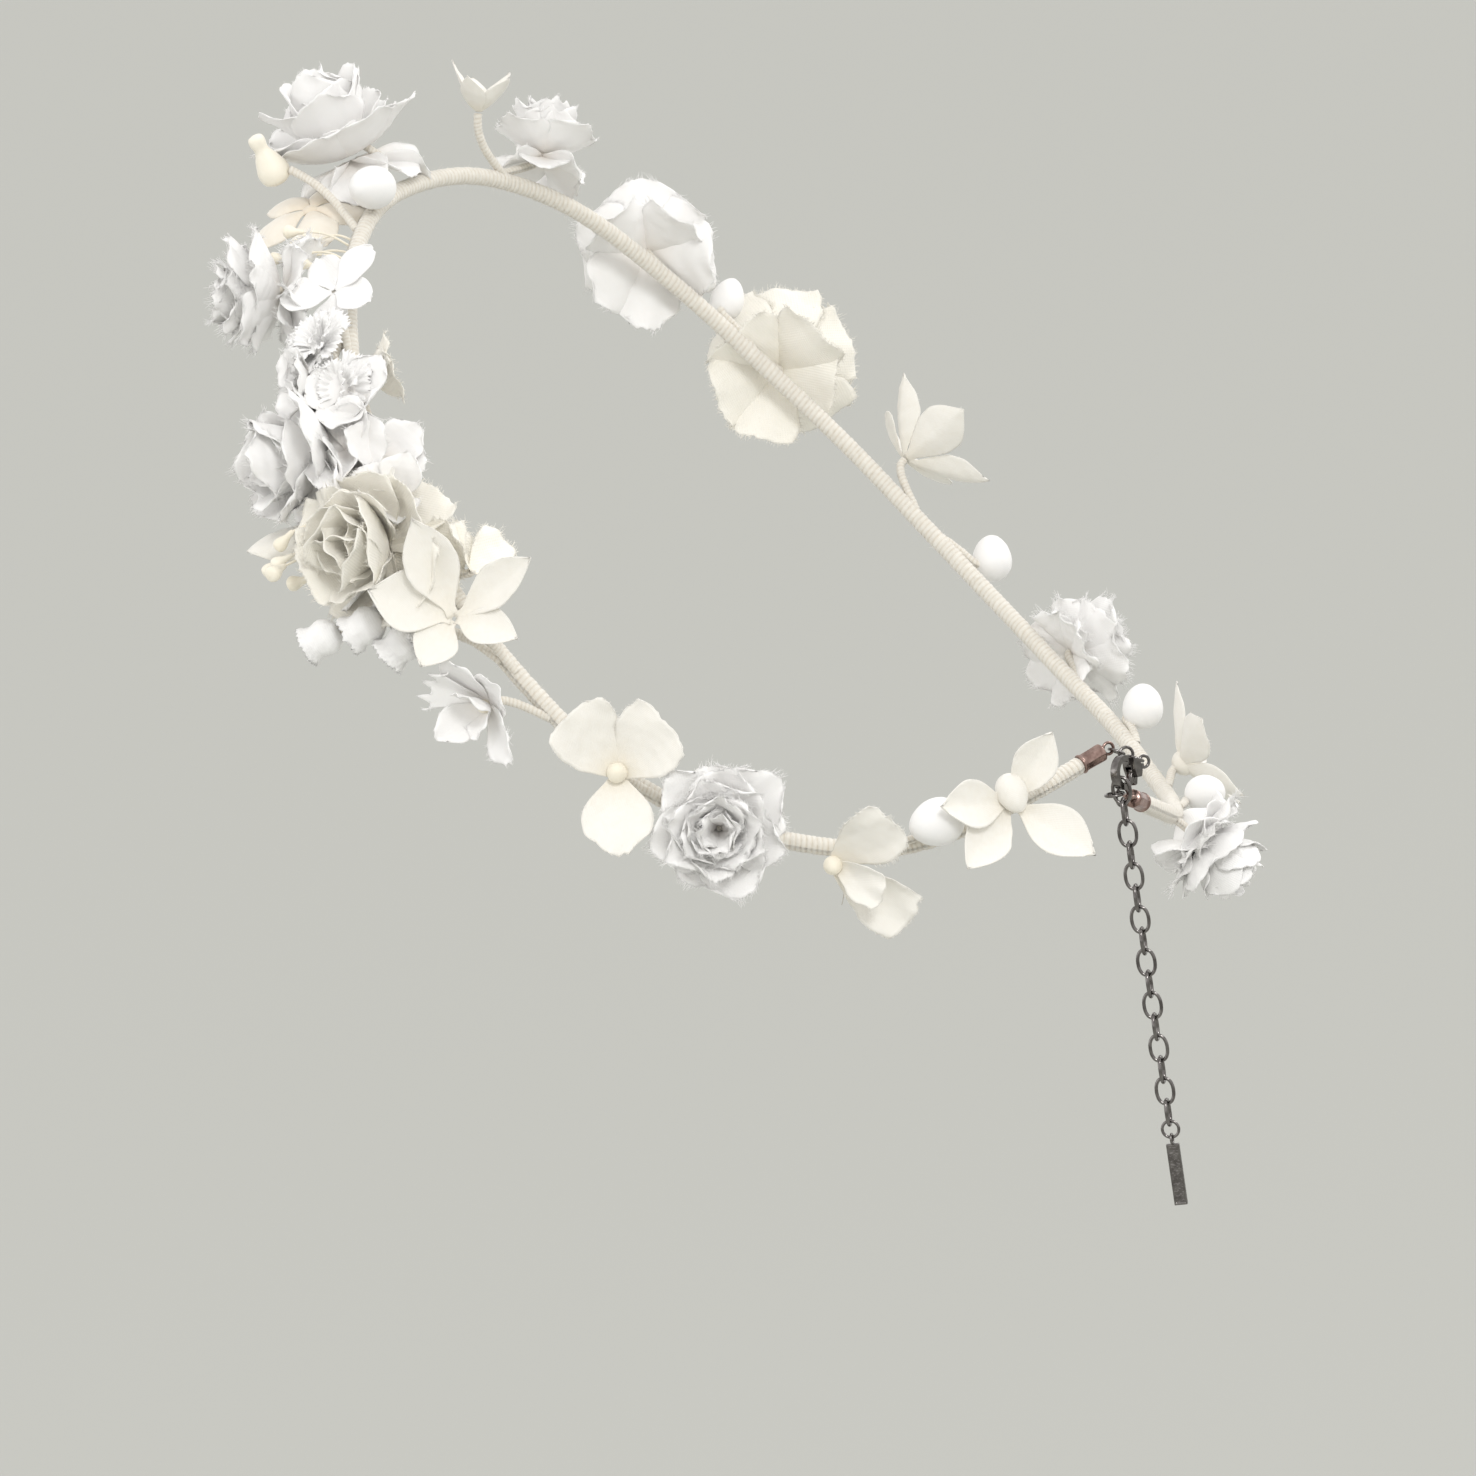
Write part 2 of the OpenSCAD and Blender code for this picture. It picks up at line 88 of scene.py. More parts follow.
# ---------- the band's route, as in the part's source ----------
HALF_WIDTH, HALF_LENGTH, LEAN = 72.5, 89.0, rad(19)
RIGHT_SIDE = [
    (0.092, 1.037, -24.3), (-0.10, 1.025, -30.5), (-0.22, 1.0, -34), (-0.36, 0.94, -37),
    (-0.51, 0.86, -39.5), (-0.66, 0.74, -40), (-0.8, 0.58, -37.5), (-0.91, 0.38, -33),
    (-0.98, 0.17, -26), (-1, -0.05, -16), (-0.98, -0.27, -4), (-0.91, -0.49, 9),
    (-0.77, -0.7, 24), (-0.55, -0.865, 38), (-0.28, -0.97, 46),
]
BROW = [(0, -1, 48)]
LEFT_SIDE = [
    (0.28, -0.97, 46), (0.55, -0.865, 38), (0.77, -0.7, 24), (0.91, -0.49, 9),
    (0.98, -0.27, -4), (1, -0.05, -16), (0.98, 0.16, -26), (0.91, 0.36, -32),
    (0.8, 0.54, -34), (0.66, 0.7, -33.5), (0.51, 0.82, -28.5), (0.36, 0.9, -22),
    (0.19, 0.96, -16),
]
T_RIGHT, T_LEFT = -len(RIGHT_SIDE), len(LEFT_SIDE)
WRAP_R = 1.75
CAP_LEN, CAP_GRIP = 5.5, 3.0
EYE_R, EYE_WIRE = 1.1, 0.6


def unit(v):
    return v / np.linalg.norm(v)


def worn(x, y, z):
    """A point of the level ring as it leans when worn."""
    return np.array([
        x,
        y * math.cos(LEAN) + z * math.sin(LEAN),
        -y * math.sin(LEAN) + z * math.cos(LEAN),
    ])


route = np.array([
    worn(x * HALF_WIDTH, y * HALF_LENGTH, z) for x, y, z in RIGHT_SIDE + BROW + LEFT_SIDE
])
ring_up = worn(0, 0, 1)


def spline(a, b, c, d, f):
    """A smooth curve from b to c, with a before and d after them, at the share f."""
    return 0.5 * (2 * b + (c - a) * f + (2 * a - 5 * b + 4 * c - d) * f * f
                  + (3 * b - a - 3 * c + d) * f ** 3)


def route_point(i):
    if i < 0:
        return 2 * route[0] - route[1]
    if i >= len(route):
        return 2 * route[-1] - route[-2]
    return route[i]


def band_point(t):
    """The band's centreline, t counted in route points from the brow."""
    x = min(max(t - T_RIGHT, 0), len(route) - 1)
    i = min(int(x), len(route) - 2)
    f = x - i
    return spline(*(route_point(i + k) for k in (-1, 0, 1, 2)), f)


def band_along(t):
    return unit(band_point(t + 0.05) - band_point(t - 0.05))


def off_line(v, t):
    along = band_along(t)
    return v - (v @ along) * along


def band_out(t):
    p = band_point(t)
    return unit(off_line(p - (p @ ring_up) * ring_up, t))


def band_up(t):
    out, up = band_out(t), off_line(ring_up, t)
    return unit(up - (up @ out) * out)


def band_way(t, clock, swing=0):
    """A direction off the band: clock 0 is outward, 90 is up, swing leans it along."""
    c, s = rad(clock), rad(swing)
    side = math.cos(c) * band_out(t) + math.sin(c) * band_up(t)
    return math.cos(s) * side + math.sin(s) * band_along(t)


def band_spot(t, clock, h):
    return band_point(t) + h * band_way(t, clock)


# ---------- placing ----------
def turn_z(a):
    return np.array([[math.cos(a), -math.sin(a), 0], [math.sin(a), math.cos(a), 0], [0, 0, 1.0]])


def turn_y(a):
    return np.array([[math.cos(a), 0, math.sin(a)], [0, 1.0, 0], [-math.sin(a), 0, math.cos(a)]])


class Place:
    """A spot with its own axes, local +Z the way a flower faces."""

    def __init__(self, at, axes):
        self.at, self.axes = np.asarray(at, float), axes

    def out(self, points):
        return np.asarray(points) @ self.axes.T + self.at

    def moved(self, x=0, y=0, z=0):
        return Place(self.out([x, y, z]), self.axes)

    def petal(self, azimuth, lift, r0=0, z0=0):
        """Axes of a petal that leaves the centre at that azimuth, lifted off the flat."""
        spin = turn_z(rad(azimuth))
        start = spin @ np.array([r0, 0, z0])
        return Place(self.out(start), self.axes @ spin @ turn_y(-rad(lift)))


def facing(at, way, spin=0):
    way = unit(np.asarray(way, float))
    axes = turn_z(math.atan2(way[1], way[0])) @ turn_y(math.acos(way[2])) @ turn_z(rad(spin))
    return Place(at, axes)


def on_band(t, clock, h, face, swing=0, spin=0):
    return facing(band_spot(t, clock, h), band_way(t, face, swing), spin)


# ---------- mesh making ----------
def ripple(x, y, rng, size, sharp=False, count=5):
    """Smooth or creased waves of about that size over a sheet, from -1 to 1."""
    total = np.zeros(np.broadcast(x, y).shape)
    for _ in range(count):
        a, phase = rng.uniform(0, TAU, 2)
        k = TAU / (size * rng.uniform(0.6, 1.5))
        wave = np.sin(k * (x * math.cos(a) + y * math.sin(a)) + phase)
        total += 1 - 2 * np.abs(wave) if sharp else wave
    return total / count


def smooth_step(x, low, high):
    f = np.clip((x - low) / (high - low), 0, 1)
    return f * f * (3 - 2 * f)


class Shape:
    """Gathers closed surfaces into one mesh, with cloth coordinates and a per-point share of deeper colour
    from 0 to 1: painted shade at petal bases and in thread grooves, a plain tone elsewhere.
    """

    def __init__(self):
        self.points, self.faces, self.cloth, self.tone, self.count = [], [], [], [], 0

    def add(self, points, faces, cloth, tone):
        self.points.append(points)
        self.faces.extend([[i + self.count for i in f] for f in faces])
        self.cloth.append(cloth)
        self.tone.append(tone)
        self.count += len(points)

    def sheet(self, front, back, cloth, tone):
        """Two grids of points, back to back, sewn at their edges."""
        nu, nv = front.shape[:2]
        n = nu * nv
        g = np.arange(n).reshape(nu, nv)
        quads = np.stack([g[:-1, :-1], g[1:, :-1], g[1:, 1:], g[:-1, 1:]], -1).reshape(-1, 4)
        rim = np.concatenate([g[0, :-1], g[:-1, -1], g[-1, :0:-1], g[:0:-1, 0]])
        after = np.roll(rim, -1)
        sewn = np.stack([rim, after, after + n, rim + n], -1)
        faces = np.concatenate([quads, quads[:, ::-1] + n, sewn])
        points = np.concatenate([front.reshape(-1, 3), back.reshape(-1, 3)])
        twice = np.concatenate([cloth.reshape(-1, 2)] * 2)
        self.add(points, faces.tolist(), twice, np.concatenate([tone.ravel()] * 2))

    def rings(self, rings, cloth, tone):
        """A closed skin over rings of points, each end drawn together by a lid."""
        k, sides = rings.shape[:2]
        g = np.arange(k * sides).reshape(k, sides)
        h = np.roll(g, -1, axis=1)
        quads = np.stack([g[:-1], h[:-1], h[1:], g[1:]], -1).reshape(-1, 4).tolist()
        quads.append(g[0, ::-1].tolist())
        quads.append(g[-1].tolist())
        self.add(rings.reshape(-1, 3), quads, cloth.reshape(-1, 2), tone.ravel())

    def loop(self, rings, cloth, tone):
        """A ring-shaped skin: the last ring of points joins the first."""
        k, sides = rings.shape[:2]
        g = np.arange(k * sides).reshape(k, sides)
        h = np.roll(g, -1, axis=1)
        p, q = np.roll(g, -1, axis=0), np.roll(h, -1, axis=0)
        quads = np.stack([g, h, q, p], -1).reshape(-1, 4).tolist()
        self.add(rings.reshape(-1, 3), quads, cloth.reshape(-1, 2), tone.ravel())

    def threads(self, starts, ways, lengths, radius, rng, bend=0.5, tone=0.0):
        """Loose thread ends: thin three-sided tubes that leave each start and curl."""
        if len(starts) == 0:
            return
        steps = np.linspace(0, 1, 5)
        n = len(starts)
        side = np.cross(ways, rng.normal(size=(n, 3)))
        side /= np.linalg.norm(side, axis=1)[:, None] + 1e-9
        other = np.cross(ways, side)
        curl = rng.normal(0, bend, (n, 1, 1)) * steps[None, :, None] ** 2
        sway = rng.normal(0, bend, (n, 1, 1)) * steps[None, :, None] ** 2
        line = starts[:, None] + lengths[:, None, None] * (
            steps[None, :, None] * ways[:, None] + curl * side[:, None] + sway * other[:, None])
        thin = radius * (1 - 0.6 * steps)[None, :, None]
        corners = [
            line + thin * (math.cos(a) * side[:, None] + math.sin(a) * other[:, None])
            for a in (0, TAU / 3, 2 * TAU / 3)
        ]
        points = np.stack(corners, 2)
        k = len(steps)
        g = np.arange(n * k * 3).reshape(n, k, 3)
        h = np.roll(g, -1, axis=2)
        quads = np.stack([g[:, :-1], h[:, :-1], h[:, 1:], g[:, 1:]], -1).reshape(-1, 4).tolist()
        lids = g[:, 0, ::-1].tolist() + g[:, -1].tolist()
        count = n * k * 3
        self.add(points.reshape(-1, 3), quads + lids, np.zeros((count, 2)), np.full(count, tone))

    def make(self, name, material, body=CROWN, replaces=()):
        mesh = bpy.data.meshes.new(name)
        points = np.concatenate(self.points) * MM
        mesh.from_pydata(points.tolist(), [], self.faces)
        mesh.polygons.foreach_set("use_smooth", np.ones(len(mesh.polygons), bool))
        corner = np.empty(len(mesh.loops), np.int32)
        mesh.loops.foreach_get("vertex_index", corner)
        layer = mesh.uv_layers.new(name="cloth")
        layer.data.foreach_set("uv", np.concatenate(self.cloth)[corner].ravel())
        # per-point share of deeper colour: painted shade at petal bases and in thread grooves, a plain tone
        # elsewhere
        tone = mesh.attributes.new("tone", "FLOAT", "POINT")
        tone.data.foreach_set("value", np.concatenate(self.tone).astype(np.float32))
        mesh.materials.append(material)
        mesh.update()
        piece = bpy.data.objects.new(name, mesh)
        bpy.context.scene.collection.objects.link(piece)
        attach(piece, body)
        if replaces:
            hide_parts(*replaces)
        return piece


# ---------- petals ----------
# an outline is (half width along the petal, how far the sides stop short of the tip)
def round_outline(u):
    rise = 0.2 + 0.8 * np.sin(0.5 * math.pi * np.clip(u / 0.6, 0, 1)) ** 1.1
    return rise * np.sqrt(1 - (np.clip(u - 0.6, 0, 1) / 0.5) ** 2), 0.2


def square_outline(u):
    rise = 0.22 + 0.78 * np.sin(0.5 * math.pi * np.clip(u / 0.7, 0, 1)) ** 1.2
    return rise * (1 - 0.25 * np.clip(u - 0.7, 0, 1)), 0.08


def leaf_outline(u):
    return np.maximum(np.sin(math.pi * u ** 0.9) ** 0.85, 0.16 * (1 - u) + 0.015), 0.0


def lily_outline(u):
    full = np.sin(math.pi * np.clip(u, 0, 1) ** 1.2) ** 0.98
    return np.maximum(full, 0.22 * (1 - u) + 0.02 * u), 0.0


def oval_outline(u):
    full = np.sqrt(np.clip(1 - ((u - 0.52) / 0.505) ** 2, 0, 1))
    return np.maximum(full * (0.35 + 0.65 * smooth_step(u, 0, 0.5)), 0.14), 0.04


def fan_outline(u):
    return 0.16 + 0.84 * u ** 0.9, 0.14


OUTLINES = {
    "round": round_outline, "square": square_outline, "leaf": leaf_outline,
    "lily": lily_outline, "oval": oval_outline, "fan": fan_outline,
}


FRAY_THREAD_R = 0.065


def petal(shape, place, length, width, rng, outline="round", cup=0.5, curl=0.4, flick=0.0,
          fold=0.0, ruffle=0.0, pleats=0, pleat=0.0, crumple=0.0, crease=3.5, teeth=0.0,
          fray=0.0, fray_length=1.1, thick=0.16, base_tone=0.7, grid=(26, 20)):
    """One cut petal of stiff cloth, its root at the place and its length along local +X.

    cup bends it across, curl lifts it along, flick turns its tip back, fold creases its
    middle, fray is the share of its edge that has come apart into threads."""
    nu, nv = grid
    u = np.linspace(0, 1, nu)[:, None]
    v = np.linspace(-1, 1, nv)[None, :]
    half, short = OUTLINES[outline](u)
    wobble = 1 + 0.05 * ripple(u * length, v * 0, rng, 5)
    half = 0.5 * width * half * wobble
    notch = teeth * np.abs(np.sin(v * math.pi * max(3, width * 0.7) + 1)) * smooth_step(u, 0.75, 1)
    edge = 0.03 * ripple(v * width, v * 0, rng, 4)
    s = length * u * (1 - short * v ** 2 * u ** 2 - notch + edge * u ** 3)

    # the line along the middle bends, and every point follows it at its own length
    along = np.linspace(0, 1.15, 80)
    bend = curl * along - flick * smooth_step(along, 0.45, 1.0) * along
    step = length * (along[1] - along[0])
    line_x = np.concatenate([[0], np.cumsum(np.cos(bend[:-1]) * step)])
    line_z = np.concatenate([[0], np.cumsum(np.sin(bend[:-1]) * step)])
    f = s / length
    theta = np.interp(f, along, bend)
    x, z = np.interp(f, along, line_x), np.interp(f, along, line_z)

    arc = cup * (0.35 + 0.65 * np.sin(math.pi * np.clip(u, 0, 1) ** 0.8)) + 1e-3
    y = half * np.sin(arc * v) / arc
    off = half * (1 - np.cos(arc * v)) / arc
    off = off + fold * half * (np.sqrt(v ** 2 + 0.02) - 0.14)
    off = off + pleat * np.sin(pleats * math.pi * v + 0.7) * smooth_step(u, 0.05, 0.9)
    off = off + ruffle * np.abs(v) ** 3 * np.sin(u * TAU * 1.6 + rng.uniform(0, TAU)) * u
    off = off + ruffle * u ** 4 * np.sin(v * math.pi * 1.7 + rng.uniform(0, TAU))
    flat_y = half * v
    spread = 0.25 + 0.75 * smooth_step(u, 0, 0.5)
    off = off + 0.12 * ripple(s, flat_y, rng, 4) * spread
    off = off + crumple * ripple(s, flat_y, rng, crease, sharp=True) * spread
    local = np.stack([x - np.sin(theta) * off, y + 0 * x, z + np.cos(theta) * off], -1)

    front = place.out(local)
    du, dv = np.gradient(front, axis=0), np.gradient(front, axis=1)
    normal = np.cross(du, dv)
    normal /= np.linalg.norm(normal, axis=2)[..., None] + 1e-9
    back = front - thick * normal
    grain = rng.uniform(-0.5, 0.5)
    cloth = np.stack([
        s * math.cos(grain) + flat_y * math.sin(grain),
        -s * math.sin(grain) + flat_y * math.cos(grain),
    ], -1)
    # painted shade: the petal's base is blended toward the cloth's deeper colour, fading out by its middle
    shade = np.clip(base_tone * (1 - smooth_step(u, 0.0, 0.5)) + 0 * v, 0, 1)
    shape.sheet(front, back, cloth, shade)
    if fray > 0:
        fray_edge(shape, front, normal, fray, fray_length, rng)


def fray_edge(shape, front, normal, fray, fray_length, rng):
    """Thread ends along the petal's far edge and its sides, in bunches."""
    nu = front.shape[0]
    first = int(nu * 0.35)
    sides = [
        (front[first:, -1], front[first:, -1] - front[first:, -3], normal[first:, -1]),
        (front[-1, ::-1], front[-1, ::-1] - front[-3, ::-1], normal[-1, ::-1]),
        (front[:first:-1, 0], front[:first:-1, 0] - front[:first:-1, 2], normal[:first:-1, 0]),
    ]
    rim = np.concatenate([p for p, _, _ in sides])
    ways = np.concatenate([w / (np.linalg.norm(w, axis=1)[:, None] + 1e-9) for _, w, _ in sides])
    normals = np.concatenate([n for _, _, n in sides])
    gaps = np.linalg.norm(np.diff(rim, axis=0), axis=1)
    run = np.concatenate([[0], np.cumsum(gaps)])
    total = run[-1]
    count = int(total * 5 * min(1.0, fray * 1.3))
    at = np.sort(rng.uniform(0, total, count))
    bunch = 0.5 + 0.5 * ripple(at, at * 0, rng, 6)
    keep = bunch > 0.75 - fray
    at, bunch = at[keep], bunch[keep]
    start = np.stack([np.interp(at, run, rim[:, k]) for k in range(3)], -1)
    way = np.stack([np.interp(at, run, ways[:, k]) for k in range(3)], -1)
    up = np.stack([np.interp(at, run, normals[:, k]) for k in range(3)], -1)
    count = len(at)
    way = way + rng.normal(0, 0.16, (count, 3)) + up * rng.normal(0, 0.12, (count, 1))
    way /= np.linalg.norm(way, axis=1)[:, None] + 1e-9
    length = fray_length * (0.25 + bunch) * rng.uniform(0.4, 1.1, count)
    shape.threads(start - 0.2 * way, way, length + 0.2, FRAY_THREAD_R, rng, bend=0.22)


# ---------- round things ----------
def turned(shape, place, profile, rng, sides=28, rough=0.0, size=3.0, tone=0.3):
    """A body of revolution about local +Z from (radius, height) pairs, slightly uneven."""
    radii = np.array([p[0] for p in profile])[:, None]
    heights = np.array([p[1] for p in profile])[:, None]
    a = np.linspace(0, TAU, sides, endpoint=False)[None, :]
    r = radii + rough * ripple(heights + 0 * a, radii * a, rng, size) * (radii > 0.2)
    local = np.stack([r * np.cos(a), r * np.sin(a), heights + 0 * a], -1)
    cloth = np.stack([radii * a, heights + 0 * a], -1)
    shape.rings(place.out(local), cloth, np.full(r.shape, tone))


def egg_profile(r, length, steps=18, point=0.18):
    return [
        (max(r * math.cos(a) * (1 - point * math.sin(a)), 0.02), 0.5 * length * math.sin(a))
        for a in np.linspace(-0.5 * math.pi, 0.5 * math.pi, steps)
    ]


def curve_profile(points, steps=26):
    """A smooth profile through a few (radius, height) pairs."""
    p = np.array(points, float)
    p = np.vstack([2 * p[0] - p[1], p, 2 * p[-1] - p[-2]])
    out = []
    for x in np.linspace(0, len(points) - 1, steps):
        i = min(int(x), len(points) - 2)
        q = spline(*p[i:i + 4], x - i)
        out.append((max(q[0], 0.02), q[1]))
    return out


def line_frames(points):
    """Two directions square to a line at each of its points, without twist."""
    along = np.gradient(points, axis=0)
    along /= np.linalg.norm(along, axis=1)[:, None]
    side = np.cross(along[0], [0.3, 0.5, 0.8])
    sides = []
    for way in along:
        side = unit(side - (side @ way) * way)
        sides.append(side)
    sides = np.array(sides)
    return sides, np.cross(along, sides)


def wound(shape, points, radius, turn, depth, rng, sides=18, tone=0.2, ends=None):
    """A tube wound with thread: ridges run round it in a slanting coil."""
    across, up = line_frames(points)
    gaps = np.linalg.norm(np.diff(points, axis=0), axis=1)
    run = np.concatenate([[0], np.cumsum(gaps)])[:, None]
    a = np.linspace(0, TAU, sides, endpoint=False)[None, :]
    slip = 0.3 * turn * ripple(run, run * 0, rng, 5 * turn)
    phase = (run + slip) / turn - a / TAU
    ridge = phase - np.floor(phase)
    bump = np.sqrt(np.clip(1 - (2 * ridge - 1) ** 2, 0, 1))
    over = 0.35 * depth * ripple(run, a * radius, rng, 2.5)
    r = radius - depth * (1 - bump) + over
    if ends is not None:
        r = r * ends[:, None]
    rings = points[:, None] + r[..., None] * (
        np.cos(a)[..., None] * across[:, None] + np.sin(a)[..., None] * up[:, None])
    cloth = np.stack([a * radius + 0 * run, (phase - a / TAU) * turn + 0 * a], -1)
    # painted shade: the grooves between the turns of thread are blended toward the deeper colour
    shade = np.clip(tone + 0.55 * (1 - bump), 0, 1)
    shape.rings(rings, cloth, shade)


def fuzz(shape, points, radius, per_mm, reach, rng, tone=0.1):
    """Short stray fibres standing off a wound line."""
    across, up = line_frames(points)
    gaps = np.linalg.norm(np.diff(points, axis=0), axis=1)
    count = int(gaps.sum() * per_mm)
    i = rng.integers(1, len(points) - 1, count)
    a = rng.uniform(0, TAU, count)[:, None]
    off = np.cos(a) * across[i] + np.sin(a) * up[i]
    lean = rng.normal(0, 0.8, (count, 3))
    way = off + lean
    way /= np.linalg.norm(way, axis=1)[:, None]
    length = reach * rng.uniform(0.3, 1.2, count)
    shape.threads(points[i] + off * (radius - 0.15), way, length, 0.03, rng, bend=0.5, tone=tone)


# ---------- materials ----------
def new_material(name):
    material = bpy.data.materials.new(name)
    material.use_nodes = True
    tree = material.node_tree
    shader = tree.nodes["Principled BSDF"]
    return material, tree, shader


def add_node(tree, kind, **settings):
    node = tree.nodes.new(kind)
    for key, value in settings.items():
        if hasattr(node, key):
            setattr(node, key, value)
        else:
            node.inputs[key].default_value = value
    return node


def maths(tree, operation, a, b=None):
    node = tree.nodes.new("ShaderNodeMath")
    node.operation = operation
    for socket, value in zip(node.inputs, (a, b)):
        if value is None:
            continue
        if isinstance(value, (int, float)):
            socket.default_value = value
        else:
            tree.links.new(value, socket)
    return node.outputs[0]


def stripes(tree, coordinate, spacing):
    """A wave from -1 to 1 with one crest per spacing, in millimetres."""
    return maths(tree, "SINE", maths(tree, "MULTIPLY", coordinate, TAU / spacing))


def noise(tree, scale, detail=3.0):
    place = tree.nodes.new("ShaderNodeTexCoord")
    node = add_node(tree, "ShaderNodeTexNoise")
    node.inputs["Scale"].default_value = scale
    node.inputs["Detail"].default_value = detail
    tree.links.new(place.outputs["Object"], node.inputs["Vector"])
    return node.outputs["Fac"]


def cloth_material(name, light, deep, spacing, weave, relief=0.03, rough=0.85, sheen=0.3,
                   through=0.25, slub=0.35):
    """Woven cloth: warp and weft ridges and slubs. A deeper colour is mixed in by the per-point attribute
    (painted shade at petal bases and in thread grooves, a plain tone elsewhere), by random mottling, and as
    painted shade in the weave's low rows.
    """
    material, tree, shader = new_material(name)
    links = tree.links
    uv = add_node(tree, "ShaderNodeUVMap")
    uv.uv_map = "cloth"
    split = add_node(tree, "ShaderNodeSeparateXYZ")
    links.new(uv.outputs["UV"], split.inputs[0])
    warp = stripes(tree, split.outputs[0], spacing)
    weft = stripes(tree, split.outputs[1], spacing * 1.15)
    cloud = noise(tree, 900)
    fine = noise(tree, 5200, 4)
    woven = maths(tree, "ADD", maths(tree, "MULTIPLY", warp, 0.5), maths(tree, "MULTIPLY", weft, 0.5))
    rows = maths(tree, "MULTIPLY", woven, weave)
    height = maths(tree, "ADD", rows, maths(tree, "MULTIPLY", fine, slub))
    bump = add_node(tree, "ShaderNodeBump")
    bump.inputs["Strength"].default_value = 0.9
    bump.inputs["Distance"].default_value = relief * MM
    links.new(height, bump.inputs["Height"])
    tone = add_node(tree, "ShaderNodeAttribute")
    tone.attribute_name = "tone"
    # share of deeper colour: the per-point attribute (painted shade at petal bases and thread grooves, a
    # plain tone elsewhere) plus random mottling
    share = maths(tree, "ADD", tone.outputs["Fac"], maths(tree, "MULTIPLY", cloud, 0.5))
    # painted shade: the weave's low rows are drawn darker and its raised rows lighter
    share = maths(tree, "SUBTRACT", share, maths(tree, "ADD", 0.2, maths(tree, "MULTIPLY", rows, 0.18)))
    ramp = add_node(tree, "ShaderNodeValToRGB")
    ramp.color_ramp.elements[0].color = (*light, 1)
    ramp.color_ramp.elements[1].color = (*deep, 1)
    links.new(share, ramp.inputs["Fac"])
    links.new(ramp.outputs["Color"], shader.inputs["Base Color"])
    links.new(bump.outputs["Normal"], shader.inputs["Normal"])
    shader.inputs["Roughness"].default_value = rough
    shader.inputs["Sheen Weight"].default_value = sheen
    shader.inputs["Sheen Roughness"].default_value = 0.5
    shader.inputs["Specular IOR Level"].default_value = 0.25
    if through > 0:
        translucent = add_node(tree, "ShaderNodeBsdfTranslucent")
        links.new(ramp.outputs["Color"], translucent.inputs["Color"])
        mix = add_node(tree, "ShaderNodeMixShader")
        mix.inputs["Fac"].default_value = through
        links.new(shader.outputs[0], mix.inputs[1])
        links.new(translucent.outputs[0], mix.inputs[2])
        links.new(mix.outputs[0], tree.nodes["Material Output"].inputs["Surface"])
    return material


def metal_material(name, light, deep, rough=0.2, wear=0.25):
    """Plated metal: darker in its pits, finely rubbed, slightly uneven."""
    material, tree, shader = new_material(name)
    links = tree.links
    cloud = noise(tree, 700, 4)
    rub = noise(tree, 6000, 2)
    ramp = add_node(tree, "ShaderNodeValToRGB")
    ramp.color_ramp.elements[0].position = 0.35
    ramp.color_ramp.elements[1].position = 0.65
    ramp.color_ramp.elements[0].color = (*deep, 1)
    ramp.color_ramp.elements[1].color = (*light, 1)
    links.new(cloud, ramp.inputs["Fac"])
    links.new(ramp.outputs["Color"], shader.inputs["Base Color"])
    roughness = maths(tree, "ADD", maths(tree, "MULTIPLY", rub, wear), rough - 0.5 * wear)
    links.new(roughness, shader.inputs["Roughness"])
    bump = add_node(tree, "ShaderNodeBump")
    bump.inputs["Strength"].default_value = 0.15
    bump.inputs["Distance"].default_value = 0.01 * MM
    links.new(rub, bump.inputs["Height"])
    links.new(bump.outputs["Normal"], shader.inputs["Normal"])
    shader.inputs["Metallic"].default_value = 1.0
    return material


# the second colour of each cloth below is its deeper one: painted shade at petal bases, in thread grooves
# and in the weave's low rows, and random mottling
WHITE, PEARL = (0.94, 0.933, 0.922), (0.92, 0.88, 0.83)
IVORY, CREAM = (0.885, 0.865, 0.81), (0.90, 0.84, 0.70)
white_silk = cloth_material("white_silk", WHITE, PEARL, 0.24, 0.5, through=0.08)
white_gauze = cloth_material("white_gauze", WHITE, PEARL, 0.42, 0.8, 0.025, through=0.1)
white_cotton = cloth_material("white_cotton", WHITE, (0.78, 0.77, 0.77), 0.36, 0.7, 0.03, through=0.05)
ivory_cotton = cloth_material("ivory_cotton", IVORY, (0.80, 0.74, 0.62), 0.28, 0.6, through=0.06)
cream_mesh = cloth_material("cream_mesh", (0.93, 0.905, 0.835), CREAM, 0.46, 1.0, 0.03, through=0.08)
cream_satin = cloth_material("cream_satin", (0.84, 0.79, 0.70), (0.74, 0.63, 0.48), 0.2, 0.3, 0.015,
                             rough=0.45, sheen=0.5, through=0.06)
egg_white = cloth_material("egg_white", (0.84, 0.835, 0.825), PEARL, 0.3, 0.15, 0.03, rough=0.5, through=0)
pip_cream = cloth_material("pip_cream", (0.87, 0.83, 0.72), (0.82, 0.74, 0.58), 0.5, 0.1, 0.02,
                           rough=0.42, through=0)
thread_ivory = cloth_material("thread_ivory", (0.87, 0.85, 0.79), (0.62, 0.54, 0.42), 0.22, 0.9, 0.05,
                              sheen=0.5, through=0)
gunmetal = metal_material("gunmetal", (0.22, 0.208, 0.2), (0.13, 0.12, 0.116), 0.17, 0.1)
copper = metal_material("copper", (0.38, 0.27, 0.235), (0.22, 0.145, 0.125), 0.24, 0.1)
steel = metal_material("steel", (0.55, 0.55, 0.56), (0.35, 0.35, 0.36), 0.3)


# ---------- band ----------
ROUTE_GAP = 19.5


def band_line(first, last, step):
    """Points along the band, about that step apart; route points are about ROUTE_GAP apart."""
    length = abs(last - first) * ROUTE_GAP
    return np.array([band_point(t) for t in np.linspace(first, last, int(length / step))])


